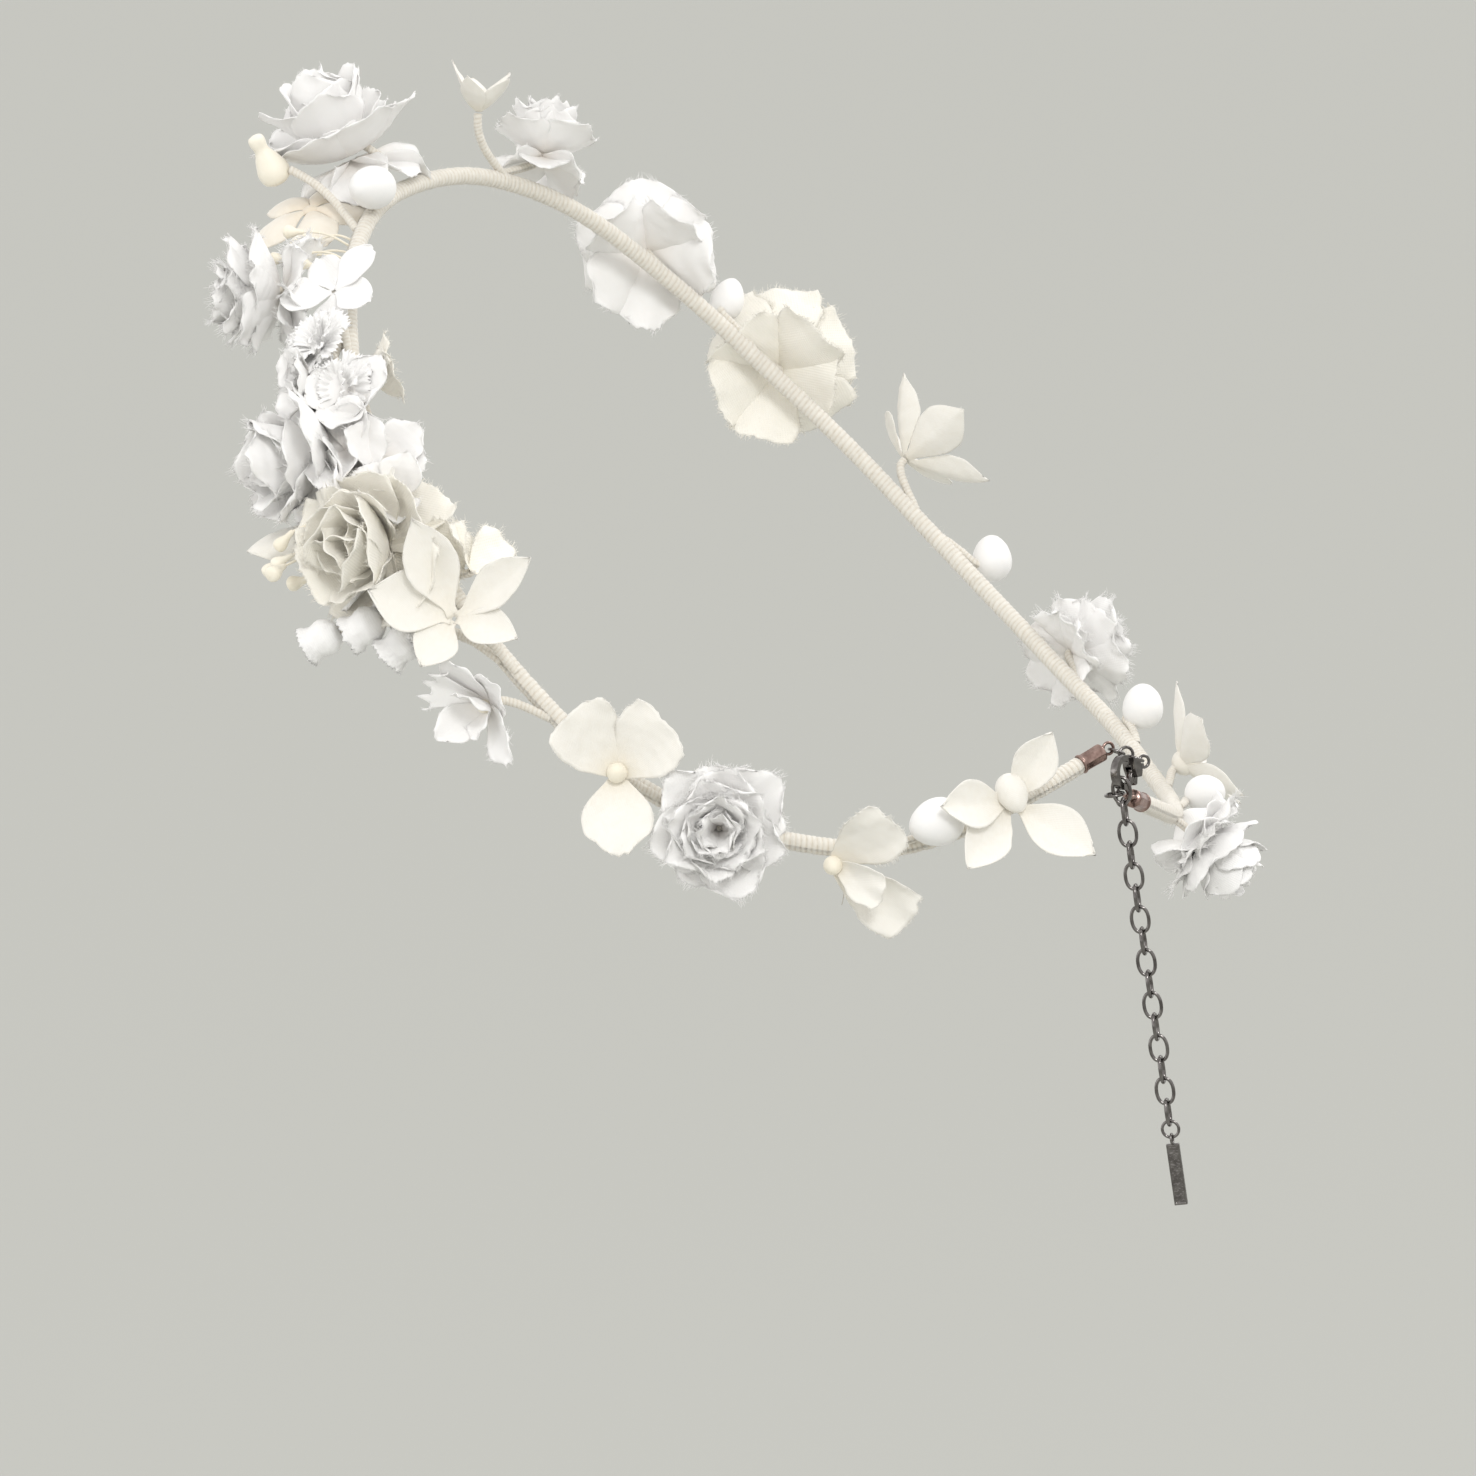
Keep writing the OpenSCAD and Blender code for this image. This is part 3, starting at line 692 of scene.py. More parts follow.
def make_band():
    rng = np.random.default_rng(7)
    shape = Shape()
    line = band_line(T_RIGHT, T_LEFT, 0.16)
    gaps = np.linalg.norm(np.diff(line, axis=0), axis=1)
    run = np.concatenate([[0], np.cumsum(gaps)])
    from_end = np.minimum(run, run[-1] - run)
    under_cap = smooth_step(from_end, CAP_GRIP, CAP_GRIP + 0.6)
    ends = 0.8 + 0.2 * under_cap
    wound(shape, line, WRAP_R, 1.05, 0.2, rng, ends=ends)
    fuzz(shape, line[40:-40], WRAP_R, 4.5, 1.1, rng)
    shape.make("band_windings", thread_ivory, replaces=["band_wrap"])


def stem_line(t, clock, h, back, sink):
    """A stem that lies along the band, then turns up to the back of its flower."""
    lead = 0.42 * back
    foot = band_point(t - lead) + (WRAP_R - 0.5) * band_way(t - lead, clock)
    bend = band_point(t - 0.3 * lead) + (WRAP_R + 0.25 * h) * band_way(t - 0.3 * lead, clock)
    top = band_spot(t, clock, max(h - sink, WRAP_R))
    over = top - 0.35 * max(h - sink, 2) * band_way(t, clock)
    f = np.linspace(0, 1, 90)[:, None]
    return (1 - f) ** 3 * foot + 3 * f * (1 - f) ** 2 * bend + 3 * f * f * (1 - f) * over + f ** 3 * top


def make_stem(name, seed, stems):
    """Thread-wound stems, each (t, clock, h, side it comes from, how far below the flower)."""
    rng = np.random.default_rng(seed)
    shape = Shape()
    for t, clock, h, back, sink in stems:
        line = stem_line(t, clock, h, back, sink)
        wound(shape, line, 0.85, 0.8, 0.13, rng, sides=12)
        fuzz(shape, line, 0.85, 3, 0.8, rng)
    shape.make(name, thread_ivory)


# ---------- flowers ----------
def rose(shape, place, r, rng, layers, **style):
    """Rings of petals, each layer (count, length, width, lift, curl): shares of r, degrees, radians."""
    spin = rng.uniform(0, 360)
    for k, (count, length, width, lift, curl) in enumerate(layers):
        for i in range(count):
            azimuth = spin + 360 * (i + rng.uniform(-0.2, 0.2)) / count + k * 35
            tilt = lift + rng.uniform(-9, 9)
            grow = rng.uniform(0.88, 1.1)
            seat = place.petal(azimuth, tilt, r0=0.05 * r, z0=-0.4 * r + 0.075 * r * k)
            petal(shape, seat, length * r * grow, width * r * rng.uniform(0.88, 1.12), rng,
                  curl=curl * rng.uniform(0.8, 1.15), **style)


FULL_ROSE = [(6, 1.15, 1.25, -35, 0.3), (6, 1.35, 1.4, -5, 1.2), (5, 1.3, 1.3, 22, 1.2),
             (5, 1.2, 1.15, 42, 1.1), (4, 1.1, 0.95, 60, 0.9), (4, 0.95, 0.75, 76, 0.6)]
LOOSE_ROSE = [(5, 1.2, 1.35, -35, 0.3), (5, 1.35, 1.5, -2, 1.15), (5, 1.25, 1.35, 28, 1.1),
              (4, 1.15, 1.15, 50, 0.9), (3, 1.0, 0.85, 72, 0.6)]
GAUZE_ROSE = [(7, 1.15, 1.15, -30, 0.4), (7, 1.25, 1.2, 4, 0.8), (6, 1.2, 1.1, 28, 0.7),
              (6, 1.1, 1.0, 50, 0.55), (5, 0.95, 0.8, 70, 0.3)]


def make_rose(node, seat, r, seed, material, slot, layers=FULL_ROSE, **style):
    rng = np.random.default_rng(seed)
    shape = Shape()
    rose(shape, seat, r, rng, layers, **style)
    shape.make(node + "_petals", material, replaces=[node])


def make_petals(node, seat, seed, petals, material, slot, **style):
    """Petals set one by one, each (azimuth, lift, length, width), then its own settings if any."""
    rng = np.random.default_rng(seed)
    shape = Shape()
    for azimuth, lift, length, width, *own in petals:
        look = {**style, **dict(*own)}
        petal(shape, seat.petal(azimuth, lift, r0=0.4), length, width, rng, **look)
    shape.make(node + "_petals", material, replaces=[node])


def make_scattered(name, seed, petals, material, slot, replaces, **style):
    """Petals with seats of their own, each (seat, azimuth, lift, length, width)."""
    rng = np.random.default_rng(seed)
    shape = Shape()
    for seat, azimuth, lift, length, width in petals:
        petal(shape, seat.petal(azimuth, lift), length, width, rng, **style)
    shape.make(name, material, replaces=replaces)


def make_centre(name, seed, seat, profile, material, slot, replaces=(), **look):
    rng = np.random.default_rng(seed)
    shape = Shape()
    turned(shape, seat, profile, rng, **look)
    shape.make(name, material, replaces=replaces)


def make_buds(node, seed, spots, sides, tone):
    """Smooth wrapped buds, each (t, clock, h, face, radius, length, swing)."""
    rng = np.random.default_rng(seed)
    shape = Shape()
    for t, clock, h, face, r, length, swing in spots:
        turned(shape, on_band(t, clock, h, face, swing), egg_profile(r, length), rng, sides=sides,
               rough=0.06, size=6, tone=tone)
    shape.make(node + "_cotton", egg_white, replaces=[node])


def drop_profile(r, length):
    return curve_profile([(0.1, 0), (0.35 * r, 0.08 * length), (0.5 * r, 0.35 * length),
                          (r, 0.72 * length), (0.8 * r, 0.93 * length), (0.03, length)])


def make_pips(node, seed, spots, r, length, lean=0.0):
    """Waxed stamen tips on thread stems, each spot (t, clock, height of the tip)."""
    rng = np.random.default_rng(seed)
    shape = Shape()
    for t, clock, h in spots:
        way = unit(band_way(t, clock) + rng.normal(0, 0.22, 3) + lean * band_along(t))
        tip = band_spot(t, clock, h)
        grow = rng.uniform(0.85, 1.15)
        seat = facing(tip - 0.6 * length * grow * way, way)
        turned(shape, seat, drop_profile(r * rng.uniform(0.85, 1.1), length * grow), rng, rough=0.05,
               tone=rng.uniform(0, 0.35))
        foot = band_spot(t, clock, WRAP_R - 0.4)
        start = tip - 0.6 * length * way
        f = np.linspace(0, 1, 24)[:, None]
        bow = 1.2 * np.sin(math.pi * f) * band_up(t)
        line = foot + f * (start + 0.3 * way - foot) + bow
        rings = tube_rings(line, 0.24, 8)
        shape.rings(rings, np.zeros(rings.shape[:2] + (2,)), np.full(rings.shape[:2], 0.3))
    shape.make(node + "_tips", pip_cream, replaces=[node])


def tube_rings(line, radius, sides):
    across, up = line_frames(line)
    a = np.linspace(0, TAU, sides, endpoint=False)[None, :, None]
    return line[:, None] + radius * (np.cos(a) * across[:, None] + np.sin(a) * up[:, None])


def bell(shape, place, r, length, rng):
    """A ruffled cotton bell: a round cup, its pinked mouth crumpled inward."""
    a = np.linspace(0, TAU, 44, endpoint=False)[None, :]
    outer = curve_profile([(0.3, 0), (0.6 * r, 0.08 * length), (0.96 * r, 0.38 * length),
                           (0.84 * r, 0.72 * length), (1.08 * r, length)], 16)
    inner = curve_profile([(1.02 * r, 0.98 * length), (0.72 * r, 0.74 * length),
                           (0.45 * r, 0.6 * length), (0.03, 0.62 * length)], 10)
    profile = np.array(outer + inner)
    radii, heights = profile[:, :1], profile[:, 1:]
    mouth = smooth_step(np.arange(len(profile)), 7, 15)[:, None]
    wave = ripple(np.cos(a) * 3, np.sin(a) * 3, rng, 2.2)
    tooth = np.abs(np.sin(a * 11))
    radii = radii * (1 + 0.10 * mouth * wave) + 0.3 * ripple(radii * a, heights, rng, 2.0, sharp=True)
    heights = heights + mouth * (0.55 * tooth * (radii > 0.6 * r) + 0.5 * wave)
    local = np.stack([radii * np.cos(a), radii * np.sin(a), heights + 0 * a], -1)
    cloth = np.stack([r * a + 0 * heights, heights + 0 * a], -1)
    shape.rings(place.out(local), cloth, np.clip(0.05 + 0 * radii * a, 0, 1))


def make_bells(node, seed, spots):
    rng = np.random.default_rng(seed)
    shape = Shape()
    for t, clock, h, face, swing, r, length in spots:
        bell(shape, on_band(t, clock, h, face, swing), r, length, rng)
    shape.make(node + "_cups", white_cotton, replaces=[node])


CARNATION_FANS = [
    (0, 14, 1), (72, 20, 0.95), (144, 12, 1.0), (216, 22, 0.9), (288, 16, 1), (35, 42, 0.9),
    (125, 46, 0.9), (215, 44, 0.85), (300, 48, 0.85), (90, 68, 0.8), (260, 70, 0.8),
]


def carnation(shape, place, r, length, rng):
    """A pleated floret: fans of fluted, pinked cotton out of a narrow throat."""
    for azimuth, lift, grow in CARNATION_FANS:
        seat = place.petal(azimuth + rng.uniform(-10, 10), lift, r0=0.3)
        petal(shape, seat, length * grow, 2.1 * r * grow, rng, outline="fan", cup=0.7, curl=0.1,
              flick=0.6, pleats=4, pleat=0.3, teeth=0.12, base_tone=0.3, thick=0.14, grid=(18, 46))


def make_lily(node, seat, seed, petals, **style):
    make_petals(node, seat, seed, petals, ivory_cotton, "ivory_cotton", outline="lily", cup=0.35,
                curl=0.35, fold=0.3, crumple=0.07, crease=8, base_tone=0.35, fray=0.16,
                fray_length=0.4, thick=0.2, **style)


# the crest over the brow
CREST_STYLE = dict(outline="round", cup=0.85, flick=0.6, ruffle=0.4, crumple=0.1,
                   crease=5, fray=0.3, fray_length=0.7, base_tone=0.8)
crest = on_band(0.35, 26, 17, 55)
make_rose("crest_rose", crest, 13.5, 11, white_silk, "white_silk", **CREST_STYLE)
make_centre("ivory_bud_cone", 12, on_band(0.9, 14, 24, 57),
            curve_profile([(1.5, -5.4), (2.9, -4.4), (3.2, -2.2), (2.3, 0.4), (1.5, 2.2), (1.7, 3.8),
                           (1.45, 5.0), (0.03, 5.5)]),
            pip_cream, "cream_satin", ["ivory_bud"], rough=0.08, tone=0.1)
satin = on_band(1, -8, 13, 75)
make_petals("satin_blossom", satin, 13,
            [(18, 18, 13, 10), (88, 16, 13.5, 10.5), (160, 22, 13, 10), (228, 20, 13, 10.5),
             (300, 14, 14, 10.5)],
            cream_satin, "cream_satin", outline="oval", cup=-0.95, curl=-1.1, flick=0.1, fold=0.08,
            base_tone=0.5, thick=0.2, fray=0.06, fray_length=0.3)
make_centre("satin_calyx", 14, satin.moved(z=-6.2),
            curve_profile([(0.45, 0), (0.6, 2), (0.95, 4), (1.7, 6), (0.9, 6.8), (0.03, 7)]),
            cream_satin, "cream_satin", rough=0.04, tone=0.5)
EGG_BUDS = [(1.08, 90, 7, 60, 4.2, 11.5, 60), (10.6, 50, 8, 30, 4.5, 11.5, -60)]
make_buds("egg_buds", 15, EGG_BUDS, 40, 0.0)

# the brow and the temple
GAUZE_STYLE = dict(outline="round", cup=0.9, flick=0.5, ruffle=0.6, crumple=0.2, crease=5,
                   fray=0.8, fray_length=1.9, base_tone=0.55)
make_rose("brow_gauze_rose", on_band(2.1, -4, 17, -5), 11, 21, white_gauze, "white_gauze", GAUZE_ROSE,
          **GAUZE_STYLE)
BROW_PIPS = [(1.55, 8, 13), (1.7, -8, 15), (1.75, 16, 11), (1.6, -20, 12), (1.85, 4, 9), (1.45, -6, 10)]
make_pips("brow_pips", 22, BROW_PIPS, 1.35, 4.2)
make_petals("brow_blossom", on_band(2.3, 62, 7, 60), 23,
            [(6, -18, 9, 7.5), (69, 2, 10, 8), (135, 8, 11, 8), (210, 4, 8.5, 7.5),
             (294, 14, 10, 8.5)],
            white_cotton, "white_silk", outline="oval", cup=0.6, curl=0.3, flick=0.3, ruffle=0.25,
            fray=0.05, fray_length=0.3, base_tone=0.25, thick=0.2)


def make_florets():
    rng = np.random.default_rng(24)
    shape = Shape()
    for t, clock, h, face, swing in ((2.75, 38, 8, 45, -10), (2.9, 4, 8, 10, 0), (3.12, 44, 6, 50, 15)):
        carnation(shape, on_band(t, clock, h, face, swing), 4.0, 8.0, rng)
    shape.make("florets_fans", white_cotton, replaces=["florets"])


make_florets()

MESH_STYLE = dict(outline="square", cup=0.6, flick=0.3, ruffle=0.5, crumple=0.14, crease=7,
                  fray=0.6, fray_length=1.5, base_tone=0.4)
low_pair, high_pair = on_band(3.0, 115, 4, 150), on_band(4.95, 95, 7, 120)
FRAYED = [(low_pair, 276, 35, 9.5, 11), (low_pair, 215, 35, 9.5, 10),
          (high_pair, 96, 25, 11.5, 9), (high_pair, 178, 10, 10, 10)]
make_scattered("frayed_petals_mesh", 25, FRAYED, cream_mesh, "cream_mesh", ["frayed_petals"], curl=0.5,
               **MESH_STYLE)
SILK_STYLE = dict(outline="round", cup=0.8, flick=0.5, ruffle=0.6, crumple=0.22, crease=8,
                  fray=0.4, fray_length=2.0, base_tone=0.8)
# loose petals that close the gaps between the brow flowers
FILLERS = [
    (2.75, -20, 9, -10, 10), (3.0, 15, 10, 20, 10),
    (3.3, 55, 7, 60, 11), (3.6, 30, 8, 45, 12), (3.75, 75, 5, 80, 10), (3.9, -5, 10, 0, 13),
    (4.1, 60, 6, 65, 10), (4.45, -25, 9, -20, 12), (4.9, -15, 8, -30, 10),
]


def make_fillers():
    """Three petals at each spot of FILLERS, turned and lifted a little by chance."""
    rng = np.random.default_rng(30)
    shape = Shape()
    for t, clock, h, face, size in FILLERS:
        seat = on_band(t, clock, h, face, rng.uniform(-20, 20))
        for azimuth in (20, 140, 260):
            turn = azimuth + rng.uniform(-40, 40)
            petal(shape, seat.petal(turn, rng.uniform(5, 35)), size * rng.uniform(0.8, 1.05), size, rng,
                  outline="round", cup=0.8, curl=0.6, flick=0.4, ruffle=0.4, crumple=0.12, fray=0.35,
                  fray_length=1.4, base_tone=0.7)
    shape.make("brow_loose_petals", white_silk)


make_fillers()

make_rose("silk_rose", on_band(3.45, -14, 13, -6), 13.5, 26, white_silk, "white_silk", layers=LOOSE_ROSE,
          **SILK_STYLE)
LEAVES = [(on_band(3.8, 42, 4, 60, 20), 18, 62, 14, 7), (on_band(3.85, -50, 16, -42), 138, 66, 15, 9)]
make_scattered("leaf_petals_cotton", 27, LEAVES, ivory_cotton, "ivory_cotton", ["leaf_petals"],
               outline="leaf", cup=0.5, curl=0.2, fold=0.25, base_tone=0.3, fray=0.1, fray_length=0.3)
make_rose("mesh_rose", on_band(4.38, 6, 11.5, 16), 12.4, 28, cream_mesh, "cream_mesh", layers=LOOSE_ROSE,
          **{**MESH_STYLE, "fray": 0.35})
TEMPLE_PIPS = [(4.05, -30, 25), (4.15, -24, 27), (4.2, -36, 24), (4.0, -38, 27), (3.95, -26, 23)]
make_pips("temple_pips", 29, TEMPLE_PIPS, 1.45, 5.2)

# the lily and what hangs under it
lily = on_band(5.4, 42, 9, 50, 0).moved(-1.8, -4.1)
make_lily("lily", lily, 31,
          [(196, 22, 20.5, 10.5), (107, 30, 21.5, 8.5), (55, 34, 15, 8, {"curl": -0.3}),
           (248, 12, 17, 12.5), (322, 5, 12, 9)])
BELLS = [(4.7, -34, 22, -50, -10, 3.8, 7), (4.85, -20, 15, -60, -10, 3.9, 7),
         (5.12, -14, 12, -60, 0, 3.8, 7), (5.25, 0, 8, -50, -10, 3.4, 6)]
make_bells("bell_buds", 32, BELLS)
small = on_band(5.9, -28, 9, -10)
make_petals("small_blossom", small, 33,
            [(231, 26, 13.5, 11, {"teeth": 0.24, "outline": "fan"}), (297, 36, 12, 8, {"curl": 1.1}),
             (51, 22, 15, 10, {"fray": 0.5, "fray_length": 1.4}), (192, 20, 12.5, 10), (123, 16, 11, 10),
             (160, 50, 9, 9), (20, 50, 8, 7)],
            white_silk, "white_silk", outline="round", cup=0.6, curl=0.45, flick=0.3, ruffle=0.4,
            fray=0.18, fray_length=0.7, base_tone=0.5)
make_centre("small_blossom_pip", 34, small.moved(z=0.8), egg_profile(1.3, 3), pip_cream, "ivory_pips")

# from the ear to the nape
CRINKLED = dict(outline="square", cup=0.4, curl=0.35, flick=0.3, ruffle=0.45, crumple=0.16, crease=6,
                fray=0.28, fray_length=0.5, base_tone=0.5, thick=0.2)
three = on_band(7.15, 20, 6, 35)
make_petals("three_petal_blossom", three, 41,
            [(213, 30, 15.5, 14), (120, 34, 15.5, 15), (352, 2, 16, 14, {"outline": "round"})],
            ivory_cotton, "ivory_cotton", **CRINKLED)
make_centre("three_petal_pip", 42, three.moved(z=1.6), egg_profile(1.9, 4), pip_cream, "ivory_pips")
make_rose("ear_gauze_rose", on_band(8.25, 14, 9, 14), 10.8, 43, white_gauze, "white_gauze", GAUZE_ROSE,
          **GAUZE_STYLE)
two = on_band(9.75, -5, 5, 0).moved(-0.6, -5.9)
make_petals("two_petal_blossom", two, 44,
            [(126, 16, 16, 12, {"fray": 0.6, "fray_length": 1.2}),
             (46, 8, 18, 11.5, {"cup": 0.9, "fray": 0.5}), (66, 42, 13, 8, {"cup": 1.0})],
            ivory_cotton, "ivory_cotton", **CRINKLED)
make_centre("two_petal_pip", 45, two.moved(z=1.2), egg_profile(1.8, 3.8), pip_cream, "ivory_pips")
STAR = [(267, 20, 17.5, 9.5), (141, 20, 15.5, 8.5), (312, 12, 18, 9), (42, 10, 18.5, 10)]
star = on_band(11.6, 40, 6, 40)
make_lily("star_blossom", star, 46, STAR)
make_centre("star_bud", 47, facing(star.out([-1.5, 0, 1.6]), star.axes @ np.array([0.94, 0.1, 0.35])),
            egg_profile(2.9, 8.2), ivory_cotton, "ivory_cotton", rough=0.06, sides=36, tone=0.05)
COTTON_STYLE = dict(outline="round", cup=0.95, flick=0.2, ruffle=0.2, crumple=0.08, fray=0.12,
                    fray_length=0.5, base_tone=0.35, thick=0.2)
FLUFF_STYLE = {**GAUZE_STYLE, "fray": 0.95, "fray_length": 2.2}
make_rose("nape_rose", on_band(-12.9, -30, 11, -30), 8.8, 48, white_cotton, "white_silk", **COTTON_STYLE)


def make_fluff():
    """One frayed ring of gauze behind the nape rose."""
    rng = np.random.default_rng(49)
    shape = Shape()
    rose(shape, on_band(-12.9, -30, 9.5, -30), 9.5, rng, [(7, 1.1, 1.0, 4, 0.5)], **FLUFF_STYLE)
    shape.make("nape_fluff", white_gauze)


make_fluff()

# the right side
make_petals("right_pointed_blossom", on_band(-0.75, 82, 13, 80), 51,
            [(20, 44, 10, 5.5), (92, 30, 10, 5.5), (164, 50, 11, 5.5), (236, 36, 10, 5.5),
             (308, 40, 10, 5.5)],
            ivory_cotton, "ivory_cotton", outline="leaf", cup=0.6, curl=0.3, base_tone=0.5, fray=0.1,
            fray_length=0.4)
make_rose("right_ruffle_rose", on_band(-1.55, 66, 11, 66), 9, 52, white_silk, "white_silk",
          layers=LOOSE_ROSE, **{**CREST_STYLE, "fray": 0.5, "teeth": 0.12})
make_rose("right_silk_rose", on_band(-2.8, 8, 13, 10), 12, 53, white_silk, "white_silk", layers=LOOSE_ROSE,
          **SILK_STYLE)
make_rose("right_mesh_rose", on_band(-4.1, 0, 12, 4), 12, 54, cream_mesh, "cream_mesh", layers=LOOSE_ROSE,
          **MESH_STYLE)
make_lily("right_lily", on_band(-5.35, 30, 8, 40, 0, 30), 55,
          [(0, 24, 18, 9), (72, 20, 19, 9), (144, 26, 17, 9), (216, 18, 19, 10),
           (288, 22, 17, 9)])
make_rose("right_gauze_rose", on_band(-7.8, 10, 9, 12), 9.8, 56, white_gauze, "white_gauze", GAUZE_ROSE,
          **GAUZE_STYLE)
right_star = on_band(-10.2, 30, 6, 34, 0, 20)
make_lily("right_star_blossom", right_star, 57,
          [(0, 16, 16, 9), (72, 14, 17, 9.5), (144, 18, 16, 9), (216, 14, 17, 9.5),
           (288, 16, 16, 9)])
make_centre("right_star_bud", 58, right_star.moved(z=1.5), egg_profile(2.6, 6.5), ivory_cotton,
            "ivory_cotton", rough=0.06)
RIGHT_BUDS = ((-1.95, 10, 12, 40, 3.6, 9, 0), (-3.45, 30, 8, 60, 3.4, 9, 20), (-6.5, 10, 8, 30, 4, 10, 50),
              (-9, 40, 7, 40, 4, 10, 60), (-11.6, 30, 7, 30, 3.6, 9, -50))
make_buds("right_buds", 59, RIGHT_BUDS, 36, 0.05)

make_band()


def make_thread_tail():
    """The loose end of the winding thread, hanging by the two-petal blossom."""
    rng = np.random.default_rng(60)
    start = band_spot(9.55, -60, WRAP_R - 0.2)
    f = np.linspace(0, 1, 30)[:, None]
    down = np.array([0, 0, -1.0])
    line = start + 9 * f * down + 2.2 * np.sin(2.6 * f) * band_out(9.55) - 1.5 * f * f * band_along(9.55)
    shape = Shape()
    wound(shape, line, 0.17, 0.5, 0.04, rng, sides=8, ends=1 - 0.5 * f[:, 0])
    shape.make("thread_tail", thread_ivory)


make_thread_tail()
STEMS = {
    "left_stems": [
        (0.3, 32, 19, 1, 4), (0.9, 14, 24, -1, 5), (1, -8, 13, 1, 6),
        (1.08, 90, 7, 1, 4), (2.1, -2, 18, 1, 4),
        (2.3, 62, 7, -1, 0.5), (2.75, 38, 8, -1, 0), (2.9, 4, 8, 1, 0),
        (3.12, 44, 6, 1, 0), (3.45, -14, 13, 1, 5),
        (3.8, 42, 4, -1, 0), (3.85, -50, 16, 1, 0), (4.42, 10, 12, -1, 5),
        (4.95, 95, 7, 1, 0), (5.4, 42, 9, -1, 1),
        (4.7, -34, 22, 1, 0), (4.85, -20, 15, 1, 0), (5.12, -14, 12, -1, 0),
        (5.25, 0, 8, -1, 0), (5.9, -28, 9, -1, 0.5),
        (7.15, 20, 6, -1, 0.5), (8.25, 14, 9, -1, 4), (9.75, -5, 5, -1, 0.5),
        (10.6, 50, 8, 1, 3), (11.6, 40, 6, -1, 0.5),
    ],
    "right_stems": [
        (-12.9, -30, 11, 1, 4), (-0.75, 82, 13, 1, 0.5),
        (-1.55, 66, 11, -1, 3), (-2.8, 8, 13, 1, 5),
        (-4.1, 0, 12, -1, 5), (-5.35, 30, 8, 1, 0.5), (-7.8, 10, 9, 1, 4), (-10.2, 30, 6, 1, 0.5),
        (-1.95, 10, 12, 1, 4), (-3.45, 30, 8, 1, 4), (-6.5, 10, 8, -1, 4),
        (-9, 40, 7, 1, 4), (-11.6, 30, 7, 1, 4),
    ],
}
for seed, (name, stems) in enumerate(STEMS.items(), 61):
    make_stem(name, seed, stems)


# ---------- metal ----------
def blank(grid):
    """No cloth coordinates and no share of deeper colour, for a grid of points on metal."""
    return np.zeros(grid.shape[:2] + (2,)), np.zeros(grid.shape[:2])


def side_way(yaw):
    return np.array([math.sin(yaw), -math.cos(yaw), 0])


def middle(node):
    low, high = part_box(node)
    return np.array((low + high) / 2) / MM


def wire_loop(shape, centre, across, up, half_across, half_up, wire, power=2.0, steps=72, sides=16):
    """A closed wire round an oval in the plane of across and up."""
    a = np.linspace(0, TAU, steps, endpoint=False)
    c, s = np.cos(a), np.sin(a)
    x = half_across * np.sign(c) * np.abs(c) ** (2 / power)
    y = half_up * np.sign(s) * np.abs(s) ** (2 / power)
    line = centre + x[:, None] * across + y[:, None] * up
    along = np.roll(line, -1, axis=0) - np.roll(line, 1, axis=0)
    along /= np.linalg.norm(along, axis=1)[:, None]
    normal = np.cross(across, up)
    inward = np.cross(normal, along)
    b = np.linspace(0, TAU, sides, endpoint=False)[None, :, None]
    rings = line[:, None] + 0.5 * wire * (np.cos(b) * inward[:, None] + np.sin(b) * normal)
    shape.loop(rings, *blank(rings))


def round_ring(node, axis, r, wire):
    axis = unit(np.asarray(axis, float))
    across = unit(np.cross(axis, [0.31, 0.27, 0.91]))
    shape = Shape()
    wire_loop(shape, middle(node), across, np.cross(axis, across), r, r, wire)
    shape.make(node + "_wire", gunmetal, node, [node])


SMALL_R, SMALL_WIRE, JUMP_R, JUMP_WIRE = 1.5, 0.6, 1.75, 0.6
LINK_HALF_W, LINK_HALF_L, LINK_WIRE = 1.65, 2.5, 0.7
END_RING_R, END_RING_WIRE = 1.6, 0.6
CHAIN_LINKS, CHAIN_YAW, JUMP_YAW = 16, 20, rad(-8.8)
CAP_RIGHT_EYE_LEAN = rad(-23)
small_way = unit(middle("clasp_link_3") - middle("clasp_link_1"))
small_yaw = math.atan2(small_way[1], small_way[0])
small_axes = turn_z(small_yaw) @ turn_y(-math.asin(small_way[2]))
for i, axis in enumerate(([0, 0, 1], [0, -1, 0], [0, 0, 1]), 1):
    round_ring(f"clasp_link_{i}", small_axes @ np.array(axis), SMALL_R, SMALL_WIRE)
round_ring("jump_ring_1", side_way(JUMP_YAW), JUMP_R, JUMP_WIRE)
round_ring("jump_ring_2", [0, 0, 1], JUMP_R, JUMP_WIRE)
round_ring("end_ring", side_way(rad(CHAIN_YAW + 90)), END_RING_R, END_RING_WIRE)
for i in range(CHAIN_LINKS):
    node = f"chain_link_{i + 1:02d}"
    yaw = rad(CHAIN_YAW + (90 if i % 2 == 0 else 0))
    link = Shape()
    across = np.array([math.cos(yaw), math.sin(yaw), 0])
    wire_loop(link, middle(node), across, np.array([0, 0, 1.0]), LINK_HALF_W, LINK_HALF_L, LINK_WIRE, 2.25)
    link.make(node + "_wire", gunmetal, node, [node])


